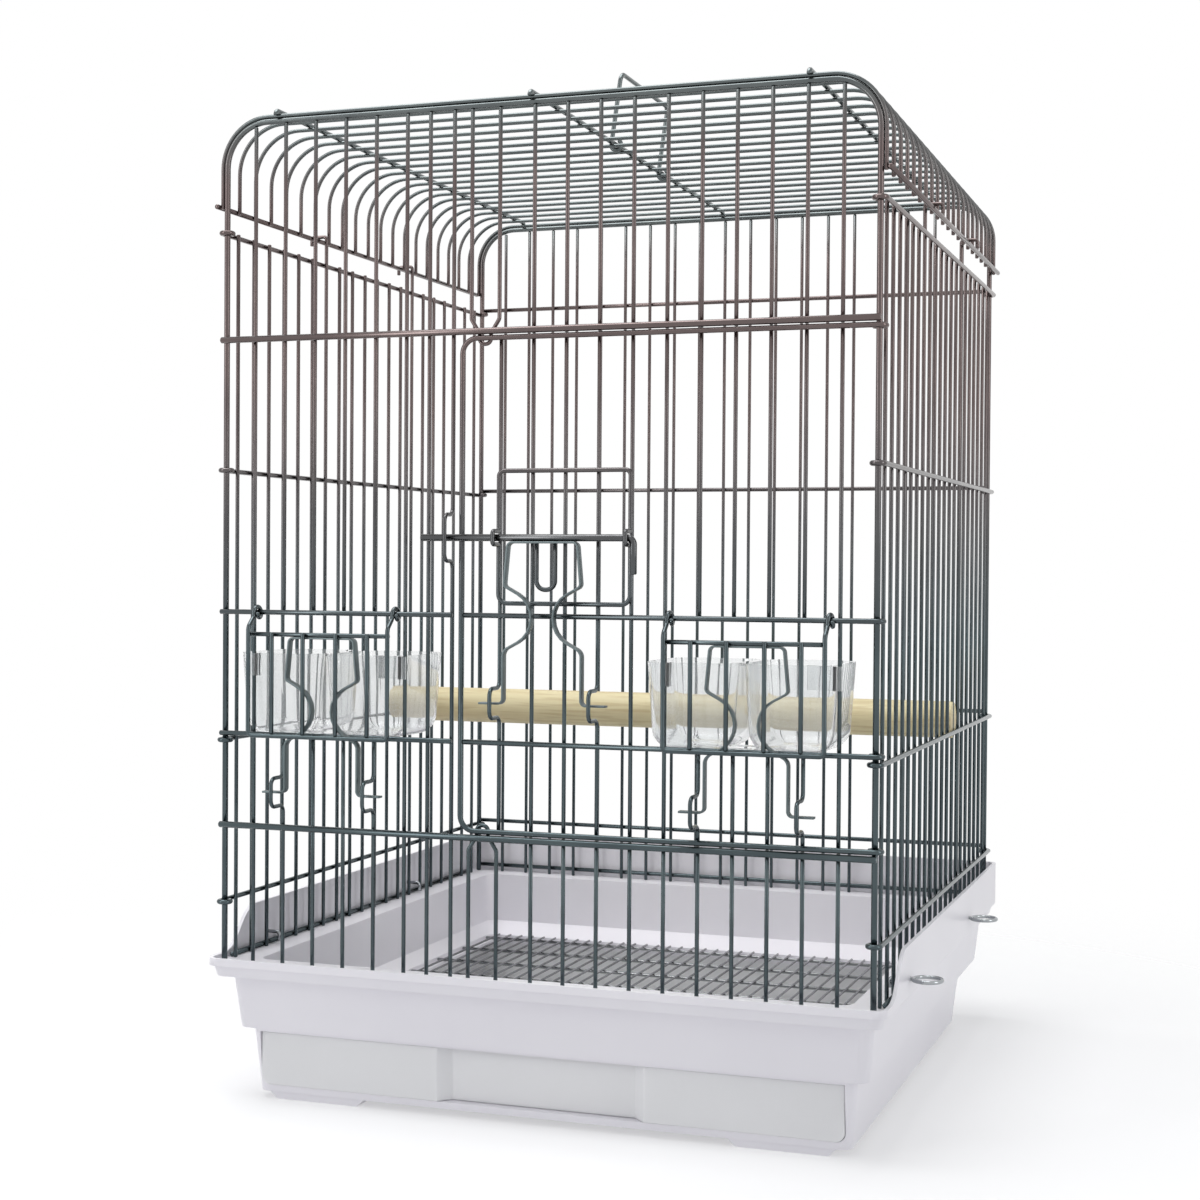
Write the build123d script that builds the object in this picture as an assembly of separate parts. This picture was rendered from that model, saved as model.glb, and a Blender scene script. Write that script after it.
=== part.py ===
"""Square wire bird cage on a moulded base with a pull-out tray, in millimetres.

The origin lies on the floor under the middle of the cage. +Z is up and the front faces -Y.
Each wire is a round rod along straight runs and arcs, and each moulding is a thin shell.
"""

import os
from math import sqrt

from build123d import *

# Cage plan and heights above the floor
cage = 446.0
frame_top = 661.7
top_rail_z = 516.0
feeder_rail_z = 333.0
cup_rail_z = 251.0
side_rail_heights = (136.0, 246.0, 428.5, 588.5)
roof_edge_z = 606.5
frame_corner = 30.0

# Wire diameters
post_d = 4.0
rail_d = 3.4
heavy_rail_d = 4.3
upright_d = 2.7
door_frame_d = 3.5
feeder_d = 3.0
bolt_d = 4.6
handle_d = 3.2
clip_d = 2.6
grid_wire_d = 1.8
grid_bar_d = 2.4

# Fits between wires
weld = 0.03
hinge_play = 0.35
door_gap = 0.5
slide_play = 0.4

# Wire patterns
front_spaces = 20
side_margin = 16.0
side_wires = 20
hook_wires = (6, 13)
narrow_shift = 0.275
loop_space = 19.4
eye_turn = 250.0

# Main door and its bolt
door_left = -48.0
door_corner = 10.0
door_first = 9
keeper_gap = 6.0
keeper_tall = 30.0
stop_neck = 16.0
bolt_z = 383.0
bolt_left = -74.0
bolt_right = 71.0
bolt_drop = 23.0
bolt_out = 10.2
guide_low = 341.0
guide_high = 426.0
guide_right = 13
guide_corner = 6.0
pull_loop_width = 12.6
pull_loop_low = 350.0

# Feeder doors, their latch springs and cups
feeder_width = 102.0
feeder_side_gap = 4.75
feeder_shift = -1.5
feeder_out = 15.0
feeder_first = 1
feeder_spaces = 5
feeder_bar_rail_z = 318.5
feeder_bars = (-35.0, -12.0, 12.0, 35.0)
spring_thick = 1.3
spring_deep = 6.0
spring_tall = 103.0
spring_lobe = 52.0
spring_top = 47.0
spring_waist_turn = 17.5
spring_cross = 24.0
spring_leg = 53.0
spring_span = 86.0
staple_tall = 19.0
staple_foot = 24.32
staple_deep = 17.0
cup_wide = 124.0
cup_deep = 78.0
cup_tall = 56.0
cup_wall = 1.8
cup_shift = -10.0
cup_taper = 8.0
cup_divider = 40.0
cup_ear = 15.0
cup_corner = 16.0
cup_round = 13.0
cup_sill = 60.0

# Perch
perch_d = 27.0
perch_z = 254.5
perch_wire = 12
perch_slot = 4.4

# Moulded base
base_wall = 2.6
foot_tall = 5.0
foot_long = 70.0
foot_deep = 14.0
foot_inset = 9.0
lower_top = 49.0
lower_in = 26.5
lower_back_in = 50.5
draft = 4.0
upper_in = 14.5
upper_front_in = 19.0
rim_low = 86.0
rim_out = 9.5
rim_top = 98.5
lip_z = 93.5
lip_out = 2.0
ledge_z = 95.0
wall_top = 126.0
wall_start_in = 20.5
wall_full_in = 67.5
base_corner = 8.0
basin_in = 26.5
basin_step_z = 55.0
grid_in = 11.0
grid_back_in = 25.0
grid_seat_z = 44.0
grid_seat = 7.0
floor_thick = 4.6

# Pull-out tray and floor grid
tray_in = 3.5
tray_wall = 2.2
tray_proud = 2.0
tray_front_top = 46.0
tray_tall = 31.4
tray_round = 6.0
tray_pull_half = 64.0
tray_pull_deep = 8.0
grid_pitch = 10.3
grid_bar_count = 8

# Carrying handle on the roof and base clips
roof_rail_in = 41.0
roof_rail_shift = -3.0
handle_tall = 51.0
handle_lean = 8.0
handle_spaces = (7.5, 12.5)
handle_corner = 6.0
clip_spaces = (-7, 4)
clip_z = 103.6
clip_ring = 18.5
clip_hook = 6.5

# Values worked out from the driving dimensions
half = cage / 2
pitch = cage / front_spaces
front_y = -half
rail_out = post_d / 2 + hinge_play + door_frame_d / 2
door_y = front_y - rail_out
upright_y = door_y + door_frame_d / 2 + weld + upright_d / 2
heavy_y = upright_y - upright_d / 2 - weld - heavy_rail_d / 2
stop_y = upright_y + hinge_play + weld
door_top_z = top_rail_z - heavy_rail_d / 2 - door_gap - door_frame_d / 2
feeder_tab_z = feeder_bar_rail_z - feeder_d / 2 - weld - spring_thick / 2 - spring_tall
bolt_tab_z = bolt_z - bolt_d / 2 - weld - spring_thick / 2 - spring_tall
bottom_rail_z = feeder_tab_z - staple_foot
door_low_z = bottom_rail_z + heavy_rail_d / 2 + door_gap + door_frame_d / 2
side_first = -half + side_margin
side_pitch = (cage - 2 * side_margin) / (side_wires - 1)
side_rail_out = post_d / 2 + weld + rail_d / 2
side_wire_x = half + side_rail_out - rail_d / 2 - weld - upright_d / 2
roof_wire_out = post_d / 2 + weld + upright_d / 2
roof_wire_x = half + roof_wire_out
roof_wire_z = frame_top + roof_wire_out
roof_edge_x = roof_wire_x + upright_d / 2 + weld + rail_d / 2
roof_rail_z = roof_wire_z + upright_d / 2 + weld + rail_d / 2
roof_rail_x = half - roof_rail_in
wire_foot = ledge_z + weld
keeper_x = door_left - door_frame_d / 2 - keeper_gap
loop_mid = door_left + door_frame_d / 2 + loop_space / 2 + 4 * weld + upright_d
bolt_y = front_y - bolt_out
tray_low = foot_tall + floor_thick + slide_play / 2
feeder_y = front_y - feeder_out
spring_y = feeder_y + feeder_d / 2 + slide_play + spring_deep / 2
bolt_spring_y = bolt_y + bolt_d / 2 - hinge_play - spring_deep / 2
rim_half = half + rim_out
lower_half = rim_half - lower_in
lower_back = rim_half - lower_back_in
upper_half = rim_half - upper_in
upper_front = -rim_half + upper_front_in
basin_half = rim_half - basin_in
grid_half = basin_half - grid_in
grid_back = basin_half - grid_back_in
wall_start = -rim_half + wall_start_in
wall_full = -rim_half + wall_full_in
tray_half = lower_half - tray_in
tray_front_y = -lower_half - tray_proud


def front_x(space):
    """X of the front upright at a count of spaces from the left post."""
    return -half + space * pitch


def side_y(index):
    """Y of a side or roof wire, counted from the front."""
    return side_first + index * side_pitch


def between_y(space):
    """Y of the middle of a gap between side wires, counted from the middle gap."""
    return space * side_pitch


def under_frame(x):
    """Height where an upright meets the underside of a panel frame and its corner bends."""
    inner = frame_corner - post_d / 2
    past = max(0.0, abs(x) + upright_d / 2 - half + frame_corner)
    return frame_top - frame_corner + sqrt(inner**2 - past**2) - weld


def straight(start, end, diameter):
    """Straight round wire between two points."""
    run = Vector(*end) - Vector(*start)
    seat = Plane(origin=start, z_dir=run)
    return seat * Cylinder(diameter / 2, run.length, align=(Align.CENTER, Align.CENTER, Align.MIN))


def swept(path, diameter):
    """Round wire along a chain of lines and arcs."""
    seat = Plane(origin=path @ 0, z_dir=path % 0)
    return sweep(seat * Circle(diameter / 2), path=path)


def bent(points, radius, diameter):
    """Round wire along a polyline whose corners are bent to a radius."""
    return swept(FilletPolyline(*points, radius=radius), diameter)


def chain(*pieces):
    """One path from lines, arcs and polylines laid end to end."""
    return Wire([edge for piece in pieces for edge in piece.edges()])


def group(shapes):
    """Separate solids of one node."""
    return Compound(children=[Part(solid.wrapped) for shape in shapes for solid in shape.solids()])


def staple(x, z, low, high, out, tall, base_y):
    """Upright with a square kink that stands out in front of the panel."""
    bend = 1.8 * upright_d
    points = [
        (x, base_y, low),
        (x, base_y, z - tall / 2),
        (x, base_y - out, z - tall / 2),
        (x, base_y - out, z + tall / 2),
        (x, base_y, z + tall / 2),
        (x, base_y, high),
    ]
    return bent(points, bend, upright_d)


def panel_frame(y):
    """Two corner posts and the top of a panel, bent from one wire."""
    points = [(-half, y, wire_foot), (-half, y, frame_top), (half, y, frame_top), (half, y, wire_foot)]
    return bent(points, frame_corner, post_d)


# Front panel

feeder_last = feeder_first + feeder_spaces
left_feeder_x = (front_x(feeder_first) + front_x(feeder_last)) / 2
opening_half = feeder_width / 2 + feeder_side_gap
opening_end = left_feeder_x + opening_half
left_full = [left_feeder_x - opening_half, opening_end, (opening_end + keeper_x) / 2 - narrow_shift]
left_cut = [front_x(space) for space in range(feeder_first + 1, feeder_last)]
left_staples = (front_x(feeder_first + 1), front_x(feeder_last - 1))
right_first = front_spaces - feeder_last
right_last = front_spaces - feeder_first
right_cut = [front_x(space) for space in range(right_first + 1, right_last)]
right_staples = (front_x(right_first + 1), front_x(right_last - 1))
right_feeder_x = (front_x(right_first) + front_x(right_last)) / 2
bolt_spring_x = front_x(door_first) + 1.5 * pitch


def upright(x, low, high):
    """Straight upright of the front or the door."""
    return straight((x, upright_y, low), (x, upright_y, high), upright_d)


def front_uprights():
    """Uprights left of the door, over the feeder opening, above the door and below it."""
    pieces = [upright(x, wire_foot, under_frame(x)) for x in left_full]
    reach = rail_d / 2
    for x in left_cut:
        pieces.append(upright(x, feeder_rail_z - reach, under_frame(x)))
        if x in left_staples:
            pieces.append(
                staple(x, feeder_tab_z, wire_foot, cup_rail_z + reach, staple_deep, staple_tall, upright_y)
            )
        else:
            pieces.append(upright(x, wire_foot, cup_rail_z + reach))
    above = top_rail_z - heavy_rail_d / 2
    below = bottom_rail_z + heavy_rail_d / 2
    for space in range(door_first + 1, front_spaces):
        x = front_x(space)
        pieces.append(upright(x, above, under_frame(x)))
        pieces.append(upright(x, wire_foot, below))
    return group(pieces)


def keeper_upright():
    """Upright beside the door, kinked out around the bolt."""
    out = upright_y - bolt_y + bolt_d / 2 + slide_play + upright_d / 2
    return staple(keeper_x, bolt_z, wire_foot, under_frame(keeper_x), out, keeper_tall, upright_y)


def front_rails():
    """Full rails above and below the door, and the two rails of the left feeder opening."""
    pieces = []
    edge = half + post_d / 2
    for z in (top_rail_z, bottom_rail_z):
        pieces.append(straight((-edge, heavy_y, z), (edge, heavy_y, z), heavy_rail_d))
    rail_y = upright_y - upright_d / 2 - weld - rail_d / 2
    for z in (feeder_rail_z, cup_rail_z):
        pieces.append(straight((-edge, rail_y, z), (keeper_x + upright_d / 2, rail_y, z), rail_d))
    return group(pieces)


def door_stop(far_z, tip_z):
    """Two uprights joined by a loop that stands behind the edge of the closed door."""
    lean = stop_neck if far_z > tip_z else -stop_neck
    wide = loop_space / 2
    narrow = upright_d + 1.2
    points = [
        (loop_mid - wide, stop_y, far_z),
        (loop_mid - wide, stop_y, tip_z + lean),
        (loop_mid - narrow, stop_y, tip_z + lean * 0.42),
        (loop_mid - narrow, stop_y, tip_z),
        (loop_mid + narrow, stop_y, tip_z),
        (loop_mid + narrow, stop_y, tip_z + lean * 0.42),
        (loop_mid + wide, stop_y, tip_z + lean),
        (loop_mid + wide, stop_y, far_z),
    ]
    return bent(points, narrow * 0.9, upright_d)


# Back panel

def back_uprights():
    """Straight uprights of the closed back panel."""
    y = half + post_d / 2 - upright_d / 2
    xs = [front_x(space) for space in range(1, front_spaces)]
    return group([straight((x, y, wire_foot), (x, y, under_frame(x)), upright_d) for x in xs])


def back_rails():
    """Straight rails across the outside of the back panel."""
    y = half + post_d / 2 + weld + rail_d / 2
    low = wire_foot + rail_d / 2
    heights = (low, *side_rail_heights)
    lift = rail_d + 4 * weld
    return group([straight((-half, y, z + lift), (half, y, z + lift), rail_d) for z in heights])


# Side panels

def side_rail(side, z):
    """Rail whose two ends curl into eyes around the corner posts."""
    x = side * (half + side_rail_out)
    run = Line((x, -half, z), (x, half, z))
    turn = side * eye_turn
    start = 0 if side > 0 else 180
    front_eye = CenterArc((side * half, -half, z), side_rail_out, start - turn, turn)
    back_eye = CenterArc((side * half, half, z), side_rail_out, start, turn)
    return swept(chain(front_eye, run, back_eye), rail_d)


def side_rails(side):
    """Four eyed rails and the straight foot rail of one side panel."""
    pieces = [side_rail(side, z) for z in side_rail_heights]
    x = side * (half + side_rail_out)
    z = wire_foot + rail_d / 2
    pieces.append(straight((x, side_first, z), (x, -side_first, z), rail_d))
    return group(pieces)


def hooked_wire(side, y):
    """Side wire that runs on upwards and hooks over the roof's edge rail."""
    inner = side * side_wire_x
    outer = side * (roof_edge_x + rail_d + upright_d + 4 * weld)
    over = roof_edge_z + rail_d / 2 + upright_d / 2 + 2 * weld
    points = [(inner, y, wire_foot), (inner, y, over), (outer, y, over), (outer, y, roof_edge_z - rail_d)]
    return bent(points, upright_d * 0.8, upright_d)


def side_wires_panel(side):
    """Wires of one side panel: most stop at the top rail and two hook the roof on."""
    top = side_rail_heights[-1] + rail_d / 2
    x = side * side_wire_x
    pieces = []
    for index in range(side_wires):
        y = side_y(index)
        if index in hook_wires:
            pieces.append(hooked_wire(side, y))
        else:
            pieces.append(straight((x, y, wire_foot), (x, y, top), upright_d))
    return group(pieces)


# Roof

def roof_wires():
    """Wires across the roof, bent down at both sides; the first and last lie on the panel frames."""
    low = roof_edge_z - rail_d / 2
    bend = frame_corner + roof_wire_out
    pieces = []
    for space in range(front_spaces + 1):
        y = front_x(space)
        points = [
            (-roof_wire_x, y, low), (-roof_wire_x, y, roof_wire_z),
            (roof_wire_x, y, roof_wire_z), (roof_wire_x, y, low),
        ]
        pieces.append(bent(points, bend, upright_d))
    return group(pieces)


def roof_edge_rails():
    """Rails along the lower edges of the roof, outside its wires."""
    reach = half + rail_d
    pieces = []
    for side in (-1, 1):
        x = side * roof_edge_x
        pieces.append(straight((x, -reach, roof_edge_z), (x, reach, roof_edge_z), rail_d))
    return group(pieces)


def roof_rail(x):
    """Rail along the top of the roof, turned down over its first and last wires."""
    plane = Plane(origin=(x, 0, 0), x_dir=(0, 1, 0), z_dir=(1, 0, 0))
    hook = 90.0
    radius = roof_rail_z - roof_wire_z
    front = CenterArc((-half, roof_wire_z), radius, 90, hook)
    run = Line((-half, roof_rail_z), (half, roof_rail_z))
    back = CenterArc((half, roof_wire_z), radius, 90 - hook, hook)
    return swept(plane * chain(front, run, back), rail_d)


def roof_rails():
    """Middle rail, which carries the handle, and one rail near each side."""
    return group([roof_rail(x + roof_rail_shift) for x in (-roof_rail_x, 0, roof_rail_x)])


def carry_handle():
    """Bail whose two eyes turn on the middle roof rail, each between two roof wires, leaning a little."""
    radius = rail_d / 2 + hinge_play + handle_d / 2
    low, high = (front_x(space) for space in handle_spaces)
    legs = FilletPolyline(
        (-radius, low, 0), (-radius, low, handle_tall), (-radius, high, handle_tall), (-radius, high, 0),
        radius=handle_corner,
    )
    eyes = []
    for y in (low, high):
        plane = Plane(origin=(0, y, 0), x_dir=(1, 0, 0), z_dir=(0, -1, 0))
        eyes.append(plane * CenterArc((0, 0), radius, 180, eye_turn))
    bail = swept(chain(eyes[0], legs, eyes[1]), handle_d)
    return Pos(roof_rail_shift, 0, roof_rail_z) * Rot(0, handle_lean, 0) * bail


# Main door

def hinge_run(x, z):
    """Door rail from a point on the door to its eye around the right front post."""
    run = Line((x, door_y, z), (half, door_y, z))
    return chain(run, CenterArc((half, front_y, z), rail_out, -90, eye_turn))


def door_frame():
    """Top, left side and bottom of the door in one wire that ends in hinge eyes."""
    outline = FilletPolyline(
        (half, door_y, door_top_z), (door_left, door_y, door_top_z),
        (door_left, door_y, door_low_z), (half, door_y, door_low_z),
        radius=door_corner,
    )
    top_eye = CenterArc((half, front_y, door_top_z), rail_out, -90, eye_turn)
    low_eye = CenterArc((half, front_y, door_low_z), rail_out, -90, eye_turn)
    return swept(chain(top_eye, outline, low_eye), door_frame_d)


def door_rails():
    """Two rails of the feeder opening, from the door's frame to their hinge eyes."""
    start = door_left + door_frame_d / 2 + weld
    return group([swept(hinge_run(start, z), rail_d) for z in (feeder_rail_z, cup_rail_z)])


def door_uprights():
    """Door wires: some stop at the feeder opening, and four are kinked into staples."""
    low = door_low_z - door_frame_d / 2 + weld
    high = door_top_z + door_frame_d / 2 - weld
    reach = rail_d / 2
    bolt_staples = (front_x(door_first), front_x(door_first + 3))
    opening = {right_first: right_feeder_x - opening_half, right_last: right_feeder_x + opening_half}
    pieces = []
    for space in range(door_first, front_spaces):
        x = opening.get(space, front_x(space))
        if x in bolt_staples:
            pieces.append(staple(x, bolt_tab_z, low, high, staple_deep, staple_tall, upright_y))
        elif x in right_cut:
            pieces.append(upright(x, feeder_rail_z - reach, high))
            if x in right_staples:
                pieces.append(
                    staple(x, feeder_tab_z, low, cup_rail_z + reach, staple_deep, staple_tall, upright_y)
                )
            else:
                pieces.append(upright(x, low, cup_rail_z + reach))
        else:
            pieces.append(upright(x, low, high))
    return group(pieces)


def latch_guide():
    """Wire rectangle on the door whose sides are kinked out around the bolt."""
    y = upright_y - upright_d / 2 - weld - feeder_d / 2
    out = y - bolt_y + bolt_d / 2 + slide_play + feeder_d / 2
    half_kink = bolt_d / 2 + slide_play + feeder_d / 2
    left = front_x(door_first)
    right = front_x(guide_right)
    middle = (left + right) / 2
    side = [
        (guide_low, y),
        (bolt_z - half_kink, y),
        (bolt_z - half_kink, y - out),
        (bolt_z + half_kink, y - out),
        (bolt_z + half_kink, y),
        (guide_high, y),
    ]
    points = [(middle, y, guide_low)]
    points += [(left, depth, z) for z, depth in side]
    points += [(right, depth, z) for z, depth in reversed(side)]
    points.append((middle - weld, y, guide_low))
    kink = [feeder_d * 0.75] * 4
    top = guide_corner * 0.6
    return bent(points, [guide_corner, *kink, top, top, *kink, guide_corner], feeder_d)


def latch_bolt():
    """Sliding bolt with its right end bent down as a stop."""
    line = [(bolt_left, bolt_z), (bolt_right, bolt_z), (bolt_right, bolt_z - bolt_drop)]
    points = [(x, bolt_y, z) for x, z in line]
    return bent(points, bolt_d * 0.9, bolt_d)


def bolt_pull_loop():
    """U-shaped finger loop on the back of the bolt."""
    y = bolt_y + bolt_d / 2 + weld + feeder_d / 2
    wide = pull_loop_width / 2
    top = bolt_z + bolt_d / 2
    x = bolt_spring_x
    line = [(-wide, top), (-wide, pull_loop_low), (wide, pull_loop_low), (wide, top)]
    points = [(x + across, y, z) for across, z in line]
    return bent(points, wide * 0.92, feeder_d)


# Feeder doors, latch springs and cups

def pinch_spring(x, y, tab_z):
    """Hourglass strip spring: a lobe, a waist and two legs whose tabs sit in the staples."""
    bend = spring_thick * 2.5
    waist_z = tab_z + 0.53 * spring_tall
    corner_rise = 0.2 * spring_tall
    right = [
        (spring_top / 2, tab_z + spring_tall),
        (spring_lobe / 2, waist_z + corner_rise),
        (-spring_cross / 2, waist_z),
        (spring_leg / 2, waist_z - corner_rise),
        (spring_leg / 2, tab_z),
        (spring_span / 2, tab_z),
    ]
    turns = [bend, bend, spring_waist_turn, 1.8 * bend, bend]
    points = [(x - across, y, z) for across, z in reversed(right)]
    points += [(x + across, y, z) for across, z in right]
    path = FilletPolyline(*points, radius=[*reversed(turns), *turns])
    seat = Plane(origin=path @ 0, x_dir=(0, 1, 0), z_dir=path % 0)
    return sweep(seat * Rectangle(spring_deep, spring_thick), path=path)


def feeder_frame(x):
    """U-shaped door wire that hangs on the feeder rail by two eyes, each with a second turn beside it."""
    radius = rail_d / 2 + hinge_play + feeder_d / 2
    front = door_y - radius
    upper = feeder_rail_z - feeder_d
    knee = feeder_bar_rail_z + 1.6 * feeder_d
    leg_turns = [1.7 * feeder_d, 2 * feeder_d, feeder_d]
    left = x + feeder_shift - feeder_width / 2
    right = left + feeder_width
    eyes = []
    turns = []
    for side_x in (left, right):
        plane = Plane(origin=(side_x, door_y, feeder_rail_z), x_dir=(0, 1, 0), z_dir=(1, 0, 0))
        eyes.append(plane * CenterArc((0, 0), radius, 180 - eye_turn, eye_turn))
        turns.append(plane.offset(feeder_d + weld) * Torus(radius, feeder_d / 2))
    leg = [(front, feeder_rail_z), (front, upper), (feeder_y, knee), (feeder_y, cup_rail_z)]
    points = [(left, y, z) for y, z in leg]
    points += [(right, y, z) for y, z in reversed(leg)]
    outline = FilletPolyline(*points, radius=[*leg_turns, *reversed(leg_turns)])
    return group([swept(chain(eyes[0], outline, eyes[1]), feeder_d), *turns])


def feeder_bar_set(x):
    """Inner rail behind the feeder door's sides, and the bars in front of it."""
    rail_y = feeder_y + feeder_d + weld
    left = x + feeder_shift - feeder_width / 2
    right = left + feeder_width
    pieces = [straight((left, rail_y, feeder_bar_rail_z), (right, rail_y, feeder_bar_rail_z), feeder_d)]
    low = cup_rail_z + feeder_d / 2 + weld
    high = feeder_bar_rail_z + feeder_d / 2
    for shift in feeder_bars:
        pieces.append(straight((x + shift, feeder_y, low), (x + shift, feeder_y, high), feeder_d))
    return group(pieces)


def cup_block(inset, floor, mid_x, mid_y):
    """Tapered block with rounded lower edges, drawn in by a wall, for the outside or inside of a cup."""
    low = cup_rail_z - rail_d / 2
    wide = cup_wide - 2 * inset
    deep = cup_deep - 2 * inset
    foot = RectangleRounded(wide - cup_taper, deep - cup_taper, cup_corner)
    mouth = RectangleRounded(wide, deep, cup_corner)
    block = loft([Pos(mid_x, mid_y, low + floor) * foot, Pos(mid_x, mid_y, low + cup_tall) * mouth])
    return fillet(block.faces().sort_by(Axis.Z)[0].edges(), cup_round - inset)


def cup_ear_set(side, beside_x, front, wall_x):
    """Ear that passes beside an upright, hooks in front of it, and joins the cup's front wall."""
    gap = upright_d / 2 + slide_play
    middle_z = cup_rail_z - rail_d / 2 + cup_tall - cup_ear / 2
    reach = upright_d + 2 * slide_play + 2 * cup_wall
    stem_x = beside_x + side * (gap + cup_wall / 2)
    stem = Pos(stem_x, front + cup_wall - reach / 2, middle_z) * Box(cup_wall, reach, cup_ear)
    lip_x = beside_x + side * cup_wall / 2
    lip = Pos(lip_x, front + 1.5 * cup_wall - reach, middle_z) * Box(2 * gap + cup_wall, cup_wall, cup_ear)
    strap_wide = abs(stem_x - wall_x) + cup_wall
    strap = Pos((stem_x + wall_x) / 2, front + cup_wall / 2, middle_z) * Box(strap_wide, cup_wall, cup_ear)
    return stem + lip + strap


def feed_cup(x):
    """Clear two-part cup behind the opening, resting on the cup rail and hooked on two uprights."""
    front = upright_y + upright_d / 2 + slide_play
    mid_x = x + cup_shift
    mid_y = front + cup_deep / 2
    low = cup_rail_z - rail_d / 2
    outside = cup_block(0, 0, mid_x, mid_y)
    divider = Pos(mid_x, mid_y, low + cup_divider / 2) * Box(cup_wall, cup_deep, cup_divider) & outside
    cup = outside - cup_block(cup_wall, cup_wall, mid_x, mid_y) + divider
    for side in (-1, 1):
        beside_x = x - side * opening_half
        cup = cup + cup_ear_set(side, beside_x, front, mid_x - side * (cup_wide / 2 - cup_corner))
    sill_low = cup_rail_z + rail_d / 2 + weld
    sill_deep = front - door_y + cup_round
    sill_y = front + cup_round - sill_deep / 2
    sill = Pos(mid_x, sill_y, sill_low + cup_wall / 2) * Box(cup_sill, sill_deep, cup_wall)
    return cup + (sill - cup_block(cup_wall, cup_wall, mid_x, mid_y))


def perch():
    """Wooden dowel with a slot in each end that straddles a side wire."""
    y = side_y(perch_wire)
    reach = half + side_rail_out - rail_d / 2 - slide_play
    dowel = Pos(0, y, perch_z) * Rot(0, 90, 0) * Cylinder(perch_d / 2, 2 * reach)
    slot_wide = upright_d + 2 * slide_play
    for side in (-1, 1):
        dowel = dowel - Pos(side * reach, y, perch_z) * Box(2 * perch_slot, slot_wide, perch_d)
    return dowel


# Base

def tapered(low_z, low_box, high_z, high_box, corner):
    """Solid between two rounded rectangles given as half width, front and back."""
    sections = []
    for z, (half_wide, front, back) in ((low_z, low_box), (high_z, high_box)):
        plane = Plane(origin=(0, (front + back) / 2, z))
        sections.append(plane * RectangleRounded(2 * half_wide, back - front, corner))
    return loft(sections, ruled=True)


def square(size):
    """Half width, front and back of a square about the origin."""
    return size, -size, size


def inset(box, wall):
    """Rounded-rectangle size drawn in by a wall, or pushed out by a negative one."""
    half_wide, front, back = box
    return half_wide - wall, front + wall, back - wall


lower_low_box = (lower_half, -lower_half, lower_back)
lower_high_box = (lower_half + draft, -lower_half - draft, lower_back + 3 * draft)
upper_low_box = (upper_half, upper_front, upper_half)
upper_high_box = inset(upper_low_box, -draft)
grid_box = (grid_half, -grid_half, grid_back)
slope_low = basin_step_z - base_corner
pocket_low = foot_tall + floor_thick
pocket_top = tray_low + tray_tall + slide_play
pocket_half = tray_half + slide_play


def base_outside():
    """Outer form of the base: tray housing, band, rim, lip and raised wall with an S-curve at the front."""
    lower = tapered(foot_tall, lower_low_box, lower_top, lower_high_box, base_corner)
    upper = tapered(lower_top, upper_low_box, rim_low, upper_high_box, base_corner)
    flange = rim_half - lip_out
    rim = tapered(rim_low, square(flange - draft / 2), lip_z, square(flange), base_corner)
    lip = tapered(lip_z, square(rim_half), rim_top, square(rim_half), base_corner)
    wall = tapered(rim_top, square(rim_half), wall_top, square(rim_half), base_corner)
    middle = (wall_start + wall_full) / 2
    curve = Bezier((wall_start, rim_top), (middle, rim_top), (middle, wall_top), (wall_full, wall_top))
    clear = 2 * wall_top
    above = Polyline((wall_full, wall_top), (wall_full, clear), (-cage, clear), (-cage, rim_top))
    front_cut = make_face(chain(Line((-cage, rim_top), (wall_start, rim_top)), curve, above))
    sideways = Plane(origin=(-cage, 0, 0), x_dir=(0, 1, 0), z_dir=(1, 0, 0))
    return lower + upper + rim + lip + wall - extrude(sideways * front_cut, 2 * cage)


def basin(wall):
    """Inside of the base down to the grid's seat, or its outer face when pushed out by a wall."""
    top = inset(square(basin_half), -wall)
    step = inset(square(basin_half - 1), -wall)
    seat = inset(grid_box, -wall)
    upper = tapered(basin_step_z, step, ledge_z, top, base_corner)
    slope = tapered(slope_low - wall, seat, basin_step_z, step, base_corner)
    well = tapered(grid_seat_z - wall, seat, slope_low - wall, seat, base_corner)
    return upper + slope + well


def base_hollow():
    """Space between the outer walls and the basin, open to the tray housing below."""
    lower = inset(lower_low_box, base_wall)
    band_low = inset(upper_low_box, base_wall)
    band_high = inset(upper_high_box, base_wall)
    step_z = lower_top + base_wall
    under_ledge = ledge_z - base_wall
    hollow = tapered(pocket_top - base_wall, lower, step_z, lower, base_corner)
    hollow = hollow + tapered(step_z, band_low, rim_low, band_high, base_corner)
    hollow = hollow + tapered(rim_low, band_high, under_ledge, band_high, base_corner)
    return hollow - basin(base_wall)


def round_below(block, radius):
    """Block whose two lowest edges from front to back are rounded."""
    return fillet(block.edges().filter_by(Axis.Y).group_by(Axis.Z)[0], radius)


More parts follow.
